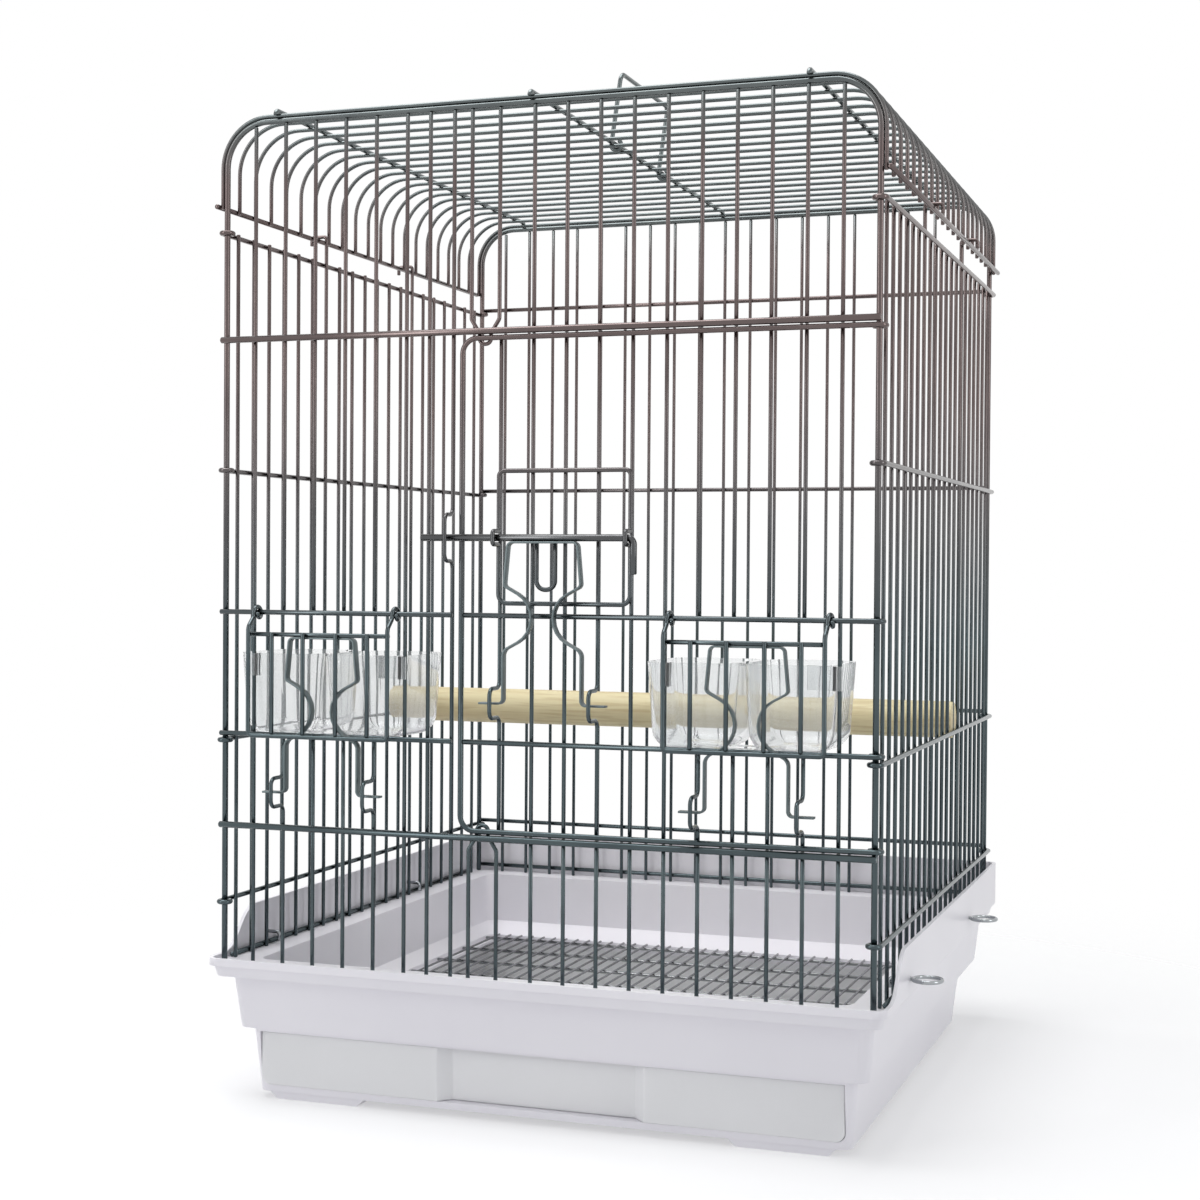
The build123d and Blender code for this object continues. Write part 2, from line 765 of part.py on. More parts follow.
def base_shell():
    """Base moulding: outer form with the bowl, basin, tray housing, hollow walls and clip holes cut."""
    bowl_box = inset(square(rim_half), base_wall)
    bowl = tapered(ledge_z, bowl_box, 2 * wall_top, bowl_box, base_corner - base_wall)
    throat_box = inset(grid_box, grid_seat)
    throat = tapered(pocket_low, throat_box, grid_seat_z, throat_box, base_corner)
    pocket_back = lower_back - base_wall
    pocket = round_below(
        Pos(0, (pocket_back - cage) / 2, (pocket_low + pocket_top) / 2)
        * Box(2 * pocket_half, pocket_back + cage, pocket_top - pocket_low),
        tray_round,
    )
    mouth_top = tray_front_top + slide_play
    mouth_back = tray_front_y + tray_pull_deep + tray_wall + slide_play
    mouth = round_below(
        Pos(0, mouth_back - cage / 2, (pocket_low + mouth_top) / 2)
        * Box(2 * pocket_half, cage, mouth_top - pocket_low),
        tray_round,
    )
    shell = base_outside() - base_hollow() - bowl - basin(0) - throat - pocket - mouth
    for side in (-1, 1):
        for space in clip_spaces:
            hole = Cylinder(clip_d / 2 + slide_play, 4 * base_wall)
            shell = shell - Pos(side * rim_half, between_y(space), clip_z) * Rot(0, 90, 0) * hole
    return shell + base_feet()


def base_feet():
    """Four low feet under the tray housing."""
    feet = []
    x = lower_half - foot_inset - foot_long / 2
    for side in (-1, 1):
        for y in (-lower_half + foot_deep / 2 + 1, lower_back - foot_deep / 2 - 1):
            top = Plane(origin=(side * x, y, foot_tall)) * Rectangle(foot_long, foot_deep)
            sole = Plane(origin=(side * x, y, 0)) * Rectangle(foot_long - 2 * foot_tall, foot_deep)
            feet.append(loft([sole, top], ruled=True))
    return feet


def drawer_tray():
    """Pull-out tray with a finger recess in the middle of its front."""
    back = lower_back - base_wall - slide_play
    sheet = tray_wall

    def outline(inset):
        """Plan of the tray with the finger recess, drawn in by a wall."""
        slope = tray_pull_deep
        near = tray_front_y + inset
        far = near + tray_pull_deep
        pull = tray_pull_half + inset
        wide = tray_half - inset
        return make_face(
            Polyline(
                (-wide, near), (-pull - slope, near), (-pull, far), (pull, far), (pull + slope, near),
                (wide, near), (wide, back - inset), (-wide, back - inset), close=True,
            )
        )

    outside = extrude(Plane.XY.offset(tray_low) * outline(0), tray_front_top - tray_low)
    inside = extrude(Plane.XY.offset(tray_low + sheet) * outline(sheet), tray_front_top)
    body = round_below(outside, tray_round) - round_below(inside, tray_round - sheet)
    trim_front = tray_front_y + tray_pull_deep + sheet
    trim = Pos(0, trim_front + cage / 2, tray_low + tray_tall + cage / 2) * Box(2 * cage, cage, cage)
    return body - trim


def floor_grid():
    """Grid wires front to back, lying on cross bars that sit on the basin's ledge."""
    half_wide, front, back = inset(grid_box, slide_play)
    bar_z = grid_seat_z + grid_bar_d / 2 + weld
    wire_z = bar_z + grid_bar_d / 2 + weld + grid_wire_d / 2
    first = front + base_corner
    bar_step = (back - base_corner - first) / (grid_bar_count - 1)
    bars = []
    for index in range(grid_bar_count):
        y = first + index * bar_step
        bars.append(straight((-half_wide, y, bar_z), (half_wide, y, bar_z), grid_bar_d))
    count = int((half_wide - base_corner) / grid_pitch)
    wires = []
    for index in range(-count, count + 1):
        x = index * grid_pitch
        wires.append(straight((x, front, wire_z), (x, back, wire_z), grid_wire_d))
    return group(bars), group(wires)


def base_clip(side, y):
    """Turn hook through the base wall: a ring outside and a hook over the foot rail inside."""
    inner = side_wire_x - upright_d / 2 - slide_play - clip_d
    outer = rim_half + slide_play + clip_d / 2
    bend = clip_d * 0.9
    points = [(side * inner, y, clip_z - clip_hook), (side * inner, y, clip_z), (side * outer, y, clip_z)]
    ring = Pos(side * (outer + clip_ring / 2), y, clip_z) * Torus(clip_ring / 2, clip_d / 2)
    return bent(points, bend, clip_d) + ring


def main():
    """Build every piece and write one file for each."""
    os.makedirs("parts", exist_ok=True)
    grid_bars, grid_wires = floor_grid()
    nodes = {
        "base_shell": base_shell(),
        "front_frame": panel_frame(-half),
        "front_uprights": front_uprights(),
        "keeper_upright": keeper_upright(),
        "front_rails": front_rails(),
        "door_stop_upper": door_stop(under_frame(loop_mid), door_top_z - door_frame_d),
        "door_stop_lower": door_stop(wire_foot, door_low_z + door_frame_d),
        "back_frame": panel_frame(half),
        "back_uprights": back_uprights(),
        "back_rails": back_rails(),
        "left_side_rails": side_rails(-1),
        "right_side_rails": side_rails(1),
        "left_side_wires": side_wires_panel(-1),
        "right_side_wires": side_wires_panel(1),
        "roof_wires": roof_wires(),
        "roof_edge_rails": roof_edge_rails(),
        "roof_rails": roof_rails(),
        "carry_handle": carry_handle(),
        "door_frame": door_frame(),
        "door_rails": door_rails(),
        "door_uprights": door_uprights(),
        "latch_guide": latch_guide(),
        "latch_bolt": latch_bolt(),
        "bolt_pull_loop": bolt_pull_loop(),
        "bolt_spring": pinch_spring(bolt_spring_x, bolt_spring_y, bolt_tab_z),
        "left_feeder_frame": feeder_frame(left_feeder_x),
        "left_feeder_bars": feeder_bar_set(left_feeder_x),
        "left_feeder_spring": pinch_spring(left_feeder_x, spring_y, feeder_tab_z),
        "right_feeder_frame": feeder_frame(right_feeder_x),
        "right_feeder_bars": feeder_bar_set(right_feeder_x),
        "right_feeder_spring": pinch_spring(right_feeder_x, spring_y, feeder_tab_z),
        "left_cup": feed_cup(left_feeder_x),
        "right_cup": feed_cup(right_feeder_x),
        "perch": perch(),
        "drawer_tray": drawer_tray(),
        "floor_grid_bars": grid_bars,
        "floor_grid_wires": grid_wires,
    }
    for side, side_name in ((-1, "left"), (1, "right")):
        for space, place in zip(clip_spaces, ("front", "back")):
            nodes[f"base_clip_{place}_{side_name}"] = base_clip(side, between_y(space))
    for name, shape in nodes.items():
        export_step(shape, f"parts/{name}.step")


main()
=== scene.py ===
"""Looks of a square wire bird cage on a moulded base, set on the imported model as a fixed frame.

Sizes are in millimetres, as on a maker's drawing, and are turned into metres when a mesh is filled.
The studio's sizes are in metres. The origin lies on the floor under the middle of the cage. +Z is up
and the front faces -Y.
"""

import logging
import math
from collections.abc import Sequence
from dataclasses import dataclass, field
from enum import Enum

import bpy
import numpy as np
from mathutils import Matrix


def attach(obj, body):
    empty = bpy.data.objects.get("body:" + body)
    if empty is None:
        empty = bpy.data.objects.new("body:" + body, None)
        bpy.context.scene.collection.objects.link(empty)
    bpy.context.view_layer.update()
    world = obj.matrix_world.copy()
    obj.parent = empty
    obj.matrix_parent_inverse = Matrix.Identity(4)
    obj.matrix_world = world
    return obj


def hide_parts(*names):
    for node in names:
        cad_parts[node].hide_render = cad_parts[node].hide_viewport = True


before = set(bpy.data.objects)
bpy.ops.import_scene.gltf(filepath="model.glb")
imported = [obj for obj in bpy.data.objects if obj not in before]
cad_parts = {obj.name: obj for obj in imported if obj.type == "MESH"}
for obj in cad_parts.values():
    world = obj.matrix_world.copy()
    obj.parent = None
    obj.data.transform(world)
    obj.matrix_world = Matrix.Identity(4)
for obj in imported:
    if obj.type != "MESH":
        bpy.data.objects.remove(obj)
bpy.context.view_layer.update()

MM = 0.001
SHARP_ANGLE = 50.0
ARC_STEP = 10.0
RING_STEPS = 48
Pair = tuple[float, float]
Point = tuple[float, float, float]
Colour = tuple[float, float, float]
log = logging.getLogger("bird_cage")


class Side(Enum):
    """Which side of the cage a piece belongs to, as the sign of its X."""

    LEFT = -1
    RIGHT = 1


class Place(Enum):
    """Where along the side a base clip sits, as a count of gaps from the middle gap."""

    FRONT = -7
    BACK = 4


class Slot(str, Enum):
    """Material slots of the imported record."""

    WIRE = "chromed_wire"
    GRID = "grid_wire"
    SPRING = "spring_strip"
    CLEAR = "clear_moulding"


# Lines

def unit(vectors: np.ndarray) -> np.ndarray:
    """Vectors of length one in the same directions."""
    return vectors / np.linalg.norm(vectors, axis=-1, keepdims=True)


def hoop(left: float, right: float, side: Sequence[Pair]) -> list[Point]:
    """Corner points along a side's pairs of Y and Z at X = left, and back along them at X = right."""
    return [(left, y, z) for y, z in side] + [(right, y, z) for y, z in reversed(side)]


def both_halves(middle: float, y: float, half: Sequence[Pair]) -> list[Point]:
    """Corner points along a half's pairs of distance from X = middle and Z, and along its mirror image."""
    return [(middle - x, y, z) for x, z in half] + [(middle + x, y, z) for x, z in reversed(half)]


def bent_path(points: Sequence[Point], radius: float | Sequence[float], steps: int = 8) -> np.ndarray:
    """Line through corner points whose inner corners are bent to a radius.

    A corner between unit directions a and b that turn by w becomes the arc
    s + r sin(q) a + r (1 - cos(q)) c, for q from 0 to w, where s lies r tan(w / 2) before the corner
    and c is the unit part of b across a.

    Args:
        points: Corner points from one end to the other.
        radius: Bend radius of every inner corner, or one for each.
        steps: Steps along each bend.

    Returns:
        Points along the line, one row each.
    """
    corners = np.asarray(points, float)
    radii = np.broadcast_to(np.asarray(radius, float), len(corners) - 2)[:, None]
    before = unit(corners[1:-1] - corners[:-2])
    after = unit(corners[2:] - corners[1:-1])
    turn = np.arccos(np.clip((before * after).sum(1, keepdims=True), -1, 1))
    start = corners[1:-1] - before * radii * np.tan(turn / 2)
    across = unit(after - before * np.cos(turn))
    angle = (turn * np.linspace(0, 1, steps + 1))[..., None]
    arcs = start[:, None] + radii[:, None] * (
        np.sin(angle) * before[:, None] + (1 - np.cos(angle)) * across[:, None]
    )
    return np.vstack([corners[:1], arcs.reshape(-1, 3), corners[-1:]])


def arc_path(
    centre: Point,
    first: Point,
    second: Point,
    radius: float,
    start: float,
    turn: float,
    advance: Point = (0, 0, 0),
) -> np.ndarray:
    """Arc or coil: centre + r (cos q first + sin q second) + advance by its share of the turn.

    Args:
        centre: Middle of the arc.
        first: Unit direction of angle 0.
        second: Unit direction of angle 90 degrees.
        radius: Radius of the arc.
        start: First angle in degrees.
        turn: Angle that the arc covers, in degrees.
        advance: How far the arc moves sideways over the whole turn.

    Returns:
        Points along the arc, about ten degrees apart.
    """
    share = np.linspace(0, 1, max(4, int(abs(turn) / ARC_STEP)) + 1)[:, None]
    angle = np.radians(start + turn * share)
    spokes = np.cos(angle) * np.asarray(first, float) + np.sin(angle) * np.asarray(second, float)
    return np.asarray(centre, float) + radius * spokes + share * np.asarray(advance, float)


# Surfaces

@dataclass
class Surface:
    """One closed surface: vertices in millimetres, four-sided faces and three-sided faces."""

    vertices: np.ndarray
    quads: np.ndarray
    triangles: np.ndarray = field(default_factory=lambda: np.empty((0, 3), int))


def round_section(diameter: float, sides: int = 14) -> np.ndarray:
    """Circle (r cos q, r sin q) as the section of a wire."""
    angle = np.linspace(0, 2 * np.pi, sides, endpoint=False)
    return diameter / 2 * np.column_stack([np.cos(angle), np.sin(angle)])


def strip_section(wide: float, thick: float, corner: float) -> np.ndarray:
    """Rounded rectangle as the section of a strip: four quarter circles about its inset corners.

    Args:
        wide: Width of the strip.
        thick: Thickness of the strip.
        corner: Radius of its edges.

    Returns:
        Points of the section, one row each.
    """
    angle = np.linspace(0, np.pi / 2, 4)
    quarter = corner * np.column_stack([np.cos(angle), np.sin(angle)])
    turned = np.column_stack([-quarter[:, 1], quarter[:, 0]])
    inset = np.array([wide / 2 - corner, thick / 2 - corner])
    flip = np.array([-1.0, 1.0])
    return np.vstack([quarter + inset, turned + inset * flip, -quarter - inset, -turned - inset * flip])


def lattice(rows: int, columns: int, closed: bool = False) -> np.ndarray:
    """Four-sided faces between the points of a lattice whose rows are rings.

    Args:
        rows: Number of rings.
        columns: Number of points in a ring.
        closed: Whether the last ring is joined to the first.

    Returns:
        Indices of the faces' corners, one row each.
    """
    index = np.arange(rows * columns).reshape(rows, columns)
    beside = np.roll(index, -1, axis=1)
    quads = np.stack([index, beside, np.roll(beside, -1, axis=0), np.roll(index, -1, axis=0)], axis=-1)
    return (quads if closed else quads[:-1]).reshape(-1, 4)


def turned_over(quads: np.ndarray) -> np.ndarray:
    """Four-sided faces that look the other way, each with its first corner kept."""
    return np.roll(quads[:, ::-1], 1, axis=1)


def skin(rings: np.ndarray) -> Surface:
    """Closed surface over a row of rings, each end closed by triangles to the middle of its ring.

    Args:
        rings: Points by ring and by place in the ring.

    Returns:
        The surface.
    """
    rows, columns = rings.shape[:2]
    first = np.arange(columns)
    last = first + (rows - 1) * columns
    middle = np.full(columns, rows * columns)
    caps = [
        np.column_stack([middle, np.roll(first, -1), first]),
        np.column_stack([middle + 1, last, np.roll(last, -1)]),
    ]
    vertices = np.vstack([rings.reshape(-1, 3), rings[[0, -1]].mean(1)])
    return Surface(vertices, lattice(rows, columns), np.vstack(caps))


def block(low: Point, high: Point) -> Surface:
    """Straight block: every corner is low plus none or all of high - low along each axis.

    Args:
        low: Corner with the least X, Y and Z.
        high: Corner with the greatest X, Y and Z.

    Returns:
        The surface.
    """
    share = np.array([(0, 0), (1, 0), (1, 1), (0, 1)], float)
    floor = np.column_stack([share, np.zeros(4)])
    corners = np.vstack([floor, floor + (0.0, 0.0, 1.0)])
    quads = [(0, 3, 2, 1), (4, 5, 6, 7), (0, 1, 5, 4), (1, 2, 6, 5), (2, 3, 7, 6), (3, 0, 4, 7)]
    return Surface(np.asarray(low, float) + corners * np.subtract(high, low), np.array(quads))


def carry(
    path: np.ndarray, section: np.ndarray, normal: Point | None = None, blunt: float = 0.3
) -> Surface:
    """Closed surface of a section carried along an open path.

    A station's tangent t is the mean of the directions of its two runs. Its normal n is the last
    station's normal less its part along t. The section's point (a, b) lies at p + a n + b (t x n).
    Both ends are blunted by a smaller last ring.

    Args:
        path: Points of the path, one row each.
        section: Points of the section, one row each.
        normal: Direction of the section's first axis at the start, or none for any.
        blunt: Length of the blunted end, as a share of the section's reach.

    Returns:
        The surface, with both ends closed.
    """
    path = np.asarray(path, float)
    runs = unit(np.diff(path, axis=0))
    length = blunt * np.abs(section).max(0).min()
    inner_start = path[:1] + runs[:1] * length
    inner_end = path[-1:] - runs[-1:] * length
    path = np.vstack([path[:1], inner_start, path[1:-1], inner_end, path[-1:]])
    runs = unit(np.diff(path, axis=0))
    tangents = unit(np.vstack([runs[:1], runs[:-1] + runs[1:], runs[-1:]]))
    if normal is None:
        normal = np.eye(3)[np.abs(tangents[0]).argmin()]
    last = np.asarray(normal, float)
    normals = []
    for tangent in tangents:
        last = unit(last - tangent * (last @ tangent))
        normals.append(last)
    along = np.array(normals)
    across = np.cross(tangents, along)
    scale = np.ones((len(path), 1, 1))
    scale[[0, -1]] = 1 - blunt
    flat = section[None] * scale
    return skin(path[:, None] + flat[..., :1] * along[:, None] + flat[..., 1:] * across[:, None])


def ring(centre: Point, radius: float, diameter: float) -> Surface:
    """Level wire ring about c: c + ((R + r cos v) cos u, (R + r cos v) sin u, r sin v).

    Args:
        centre: Middle of the ring.
        radius: Radius R to the middle of the wire.
        diameter: Diameter of the wire, which is 2 r.

    Returns:
        The surface.
    """
    turns = np.linspace(0, 2 * np.pi, RING_STEPS, endpoint=False)[:, None]
    across, rise = round_section(diameter).T
    reach = radius + across
    points = np.stack([reach * np.cos(turns), reach * np.sin(turns), rise + 0 * turns], axis=-1)
    quads = turned_over(lattice(len(turns), len(rise), closed=True))
    return Surface(np.asarray(centre, float) + points.reshape(-1, 3), quads)


def rod(start: Point, end: Point, diameter: float) -> Surface:
    """Straight round wire between two points."""
    return carry(np.array([start, end], float), round_section(diameter))


def bent_rod(
    points: Sequence[Point],
    radius: float | Sequence[float],
    diameter: float,
    steps: int = 8,
    sides: int = 14,
) -> Surface:
    """Round wire along corner points whose corners are bent to a radius."""
    return carry(bent_path(points, radius, steps), round_section(diameter, sides))


def make_mesh(name: str, surfaces: Sequence[Surface]) -> bpy.types.Object:
    """Put surfaces into one mesh object at the origin.

    Args:
        name: Name of the new piece.
        surfaces: Its surfaces, in millimetres.

    Returns:
        The object, smooth except at sharp edges.
    """
    shifts = np.cumsum([0] + [len(surface.vertices) for surface in surfaces[:-1]])
    vertices = np.vstack([surface.vertices for surface in surfaces]) * MM
    quads = np.vstack([surface.quads + shift for surface, shift in zip(surfaces, shifts)])
    triangles = np.vstack([surface.triangles + shift for surface, shift in zip(surfaces, shifts)])
    mesh = bpy.data.meshes.new(name)
    mesh.from_pydata(vertices.tolist(), [], quads.tolist() + triangles.tolist())
    mesh.polygons.foreach_set("use_smooth", np.ones(len(mesh.polygons), bool))
    mesh.set_sharp_from_angle(angle=math.radians(SHARP_ANGLE))
    piece = bpy.data.objects.new(name, mesh)
    bpy.context.scene.collection.objects.link(piece)
    return piece


# Finishes

class Tree:
    """Node tree of a material or a world, with short calls to add and join its nodes."""

    def __init__(self, owner: bpy.types.Material | bpy.types.World) -> None:
        """Start the owner's node tree.

        Args:
            owner: The material or world.
        """
        owner.use_nodes = True
        self.owner = owner
        self.tree = owner.node_tree

    def put(self, socket: bpy.types.NodeSocket, value: object) -> None:
        """Set a socket to a value, or link it to another node's output.

        Args:
            socket: Input of a node.
            value: The value or the output.
        """
        if isinstance(value, bpy.types.NodeSocket):
            self.tree.links.new(value, socket)
        else:
            socket.default_value = value

    def add(self, kind: str, **inputs: object) -> bpy.types.Node:
        """Add a node and set or link its inputs.

        Args:
            kind: Type of the node.
            **inputs: Values or outputs of other nodes, by input name with underscores for spaces.

        Returns:
            The node.
        """
        node = self.tree.nodes.new(kind)
        self.fill(node, **inputs)
        return node

    def fill(self, node: bpy.types.Node, **inputs: object) -> None:
        """Set or link a node's inputs, named with underscores for spaces."""
        for name, value in inputs.items():
            self.put(node.inputs[name.replace("_", " ")], value)

    def mix_shaders(self, share: object, first: bpy.types.Node, second: bpy.types.Node, end: str) -> None:
        """Blend two shaders by a share of the second, and end the tree with the blend.

        Args:
            share: Share of the second shader, as a value or an output.
            first: Node of the first shader.
            second: Node of the second shader.
            end: Name of the tree's output node.
        """
        mix = self.add("ShaderNodeMixShader", Fac=share)
        self.put(mix.inputs[1], first.outputs[0])
        self.put(mix.inputs[2], second.outputs[0])
        self.put(self.tree.nodes[end].inputs["Surface"], mix.outputs[0])


class Nodes(Tree):
    """Node tree of a material on Object coordinates."""

    def __init__(self, name: str) -> None:
        """Start a material with its shader and its coordinates.

        Args:
            name: Name of the material.
        """
        super().__init__(bpy.data.materials.new(name))
        self.shader = self.tree.nodes["Principled BSDF"]
        self.place = self.add("ShaderNodeTexCoord").outputs["Object"]

    def dress(self, **inputs: object) -> None:
        """Set or link the shader's inputs, named with underscores for spaces."""
        self.fill(self.shader, **inputs)

    def noise(self, scale: float, detail: float, stretch: Point = (1, 1, 1)) -> bpy.types.NodeSocket:
        """Noise from 0 to 1 that is stretched along the axes."""
        vector = self.add("ShaderNodeMapping", Vector=self.place, Scale=stretch).outputs[0]
        return self.add("ShaderNodeTexNoise", Vector=vector, Scale=scale, Detail=detail).outputs[0]

    def ramp(
        self, value: bpy.types.NodeSocket, stops: Sequence[tuple[float, Colour]]
    ) -> bpy.types.NodeSocket:
        """Colour that changes with a value.

        Args:
            value: Output that gives the place on the ramp.
            stops: Places and their colours, in order.

        Returns:
            The colour's output.
        """
        node = self.add("ShaderNodeValToRGB", Fac=value)
        elements = node.color_ramp.elements
        # New stops start half way and are then moved
        while len(elements) < len(stops):
            elements.new(0.5)
        for element, (position, colour) in zip(elements, stops):
            element.position = position
            element.color = (*colour, 1.0)
        return node.outputs[0]

    def spread(self, value: bpy.types.NodeSocket, low: float, high: float) -> bpy.types.NodeSocket:
        """Value from 0 to 1 spread between two numbers."""
        return self.add("ShaderNodeMapRange", Value=value, To_Min=low, To_Max=high).outputs[0]

    def tinted(
        self, share: float, first: bpy.types.NodeSocket, second: bpy.types.NodeSocket
    ) -> bpy.types.NodeSocket:
        """Colour multiplied by a share of a second colour.

        Args:
            share: How much of the second colour counts, from 0 to 1.
            first: Output of the first colour.
            second: Output of the second colour.

        Returns:
            The new colour's output.
        """
        node = self.add("ShaderNodeMix")
        node.data_type = "RGBA"
        node.blend_type = "MULTIPLY"
        for socket, value in ((0, share), (6, first), (7, second)):
            self.put(node.inputs[socket], value)
        return node.outputs[2]

    def bump(self, height: bpy.types.NodeSocket, depth: float, strength: float) -> None:
        """Give the shader a relief of some depth in millimetres."""
        relief = self.add("ShaderNodeBump", Height=height, Strength=strength, Distance=depth * MM)
        self.dress(Normal=relief.outputs[0])


@dataclass(frozen=True)
class WireFinish:
    """Bright plated wire that reads dark between its highlights, with a colour that changes with height:
    on the plated wire this colour is painted reflection, dark for the dark surroundings it reflects, brown
    for a wooden ceiling and grey-teal on the roof for the sky above.
    """

    name: str
    tints_and_reflections: tuple[tuple[float, Colour], ...]
    rough: float = 0.2
    full_height: float = 720.0
    patch_scale: float = 22.0
    streak_scale: float = 420.0
    streak_spread: Pair = (-0.03, 0.04)
    relief: float = 0.03
    relief_strength: float = 0.15

    def make(self) -> bpy.types.Material:
        """Metal coloured by height, which on the plated wire is painted reflection, with faint patches,
        streaks of gloss and drawn lines.

        Returns:
            The material.
        """
        nodes = Nodes(self.name)
        height = nodes.add("ShaderNodeSeparateXYZ", Vector=nodes.place).outputs["Z"]
        level = nodes.add("ShaderNodeMapRange", Value=height, From_Max=self.full_height * MM).outputs[0]
        # Painted reflection: on the plated wire the colour by height stands in for what the chrome
        # reflects, not for its own tint
        colour = nodes.ramp(level, [(z / self.full_height, tint) for z, tint in self.tints_and_reflections])
        tones = [(0.3, (0.82, 0.82, 0.84)), (0.7, (1.12, 1.12, 1.12))]
        patches = nodes.ramp(nodes.noise(self.patch_scale, 4), tones)
        streaks = nodes.noise(self.streak_scale, 2)
        low, high = (self.rough + part for part in self.streak_spread)
        nodes.dress(
            Base_Color=nodes.tinted(1.0, colour, patches),
            Metallic=1.0,
            Roughness=nodes.spread(streaks, low, high),
        )
        nodes.bump(streaks, self.relief, self.relief_strength)
        return nodes.owner


@dataclass(frozen=True)
class MouldingFinish:
    """Satin or clear plastic: two close tones in soft patches under a faint orange-peel skin."""

    name: str
    tone: Colour
    shade: Colour
    rough: float
    clear: float = 0.0
    bending: float = 1.5
    depth: float = 0.0
    skin: float = 0.05
    patch_scale: float = 9.0
    gloss_scale: float = 35.0
    gloss_spread: Pair = (0.88, 1.12)
    skin_scale: float = 260.0
    skin_strength: float = 0.2
    glow_reach: float = 10.0

    def make(self) -> bpy.types.Material:
        """Plastic with soft patches of tone, slightly uneven gloss and a fine skin.

        Returns:
            The material.
        """
        nodes = Nodes(self.name)
        patches = nodes.noise(self.patch_scale, 3)
        gloss = nodes.noise(self.gloss_scale, 4)
        low, high = (self.rough * share for share in self.gloss_spread)
        nodes.dress(
            Base_Color=nodes.ramp(patches, [(0.3, self.shade), (0.7, self.tone)]),
            Roughness=nodes.spread(gloss, low, high),
            Transmission_Weight=self.clear,
            IOR=self.bending,
        )
        if self.depth:
            nodes.dress(Subsurface_Weight=self.depth, Subsurface_Radius=(1.0, 1.0, 1.0))
            nodes.dress(Subsurface_Scale=self.glow_reach * MM)
        if self.skin:
            nodes.bump(nodes.noise(self.skin_scale, 2), self.skin, self.skin_strength)
        return nodes.owner


@dataclass(frozen=True)
class WoodFinish:
    """Pale turned wood whose grain runs along X."""

    name: str
    light: Colour = (0.74, 0.65, 0.40)
    dark: Colour = (0.60, 0.48, 0.26)
    grain_scale: float = 60.0
    pore_scale: float = 420.0
    pore_share: float = 0.7
    pore_depth: float = 0.12
    pore_strength: float = 0.4
    rough: Pair = (0.42, 0.6)

    def make(self) -> bpy.types.Material:
        """Wood with long grain bands, fine pores and a satin gloss.

        Returns:
            The material.
        """
        nodes = Nodes(self.name)
        bands = nodes.noise(self.grain_scale, 5, (0.06, 1.0, 1.0))
        pores = nodes.noise(self.pore_scale, 2, (0.05, 1.0, 1.0))
        grain = nodes.ramp(bands, [(0.35, self.dark), (0.6, self.light)])
        specks = nodes.ramp(pores, [(0.38, (0.8, 0.74, 0.66)), (0.5, (1.0, 1.0, 1.0))])
        nodes.dress(
            Base_Color=nodes.tinted(self.pore_share, grain, specks),
            Roughness=nodes.spread(bands, *self.rough),
        )
        nodes.bump(pores, self.pore_depth, self.pore_strength)
        return nodes.owner


class Finishes:
    """Every finish of the cage, made once."""

    def __init__(self) -> None:
        """Make the materials."""
        # Painted reflection on the plated wire: dark teal low down for the dark room it reflects, brown
        # higher up for a wooden ceiling, and pale grey-teal on the roof for the sky above
        teal_reflection = (0.075, 0.096, 0.102)
        brown_reflection = (0.14, 0.112, 0.108)
        roof = (0.13, 0.148, 0.148)
        plating_reflections = ((120.0, teal_reflection), (310.0, teal_reflection), (500.0, brown_reflection), (620.0, brown_reflection), (664.0, roof))
        grid = ((0.0, (0.22, 0.23, 0.235)), (60.0, (0.25, 0.26, 0.265)))
        steel = ((150.0, (0.12, 0.15, 0.155)), (400.0, (0.15, 0.18, 0.185)))
        clip = ((90.0, (0.34, 0.36, 0.37)), (120.0, (0.38, 0.4, 0.41)))
        self.wire = WireFinish("plated_wire", plating_reflections).make()
        self.grid = WireFinish("grid_wire", grid).make()
        self.spring = WireFinish("spring_steel", steel, rough=0.42).make()
        self.clip = WireFinish("clip_wire", clip).make()
        self.white = MouldingFinish(
            "white_moulding", (0.87, 0.852, 0.892), (0.84, 0.822, 0.866), rough=0.33
        ).make()
        self.frosted = MouldingFinish(
            "frosted_moulding", (0.87, 0.87, 0.88), (0.845, 0.845, 0.858), rough=0.36, depth=0.5
        ).make()
        self.clear = MouldingFinish(
            "clear_moulding",
            (0.985, 0.99, 0.99),
            (0.96, 0.975, 0.98),
            rough=0.03,
            clear=0.88,
            bending=1.3,
            skin=0.0,
        ).make()
        self.wood = WoodFinish("perch_wood").make()


# Sub-assemblies

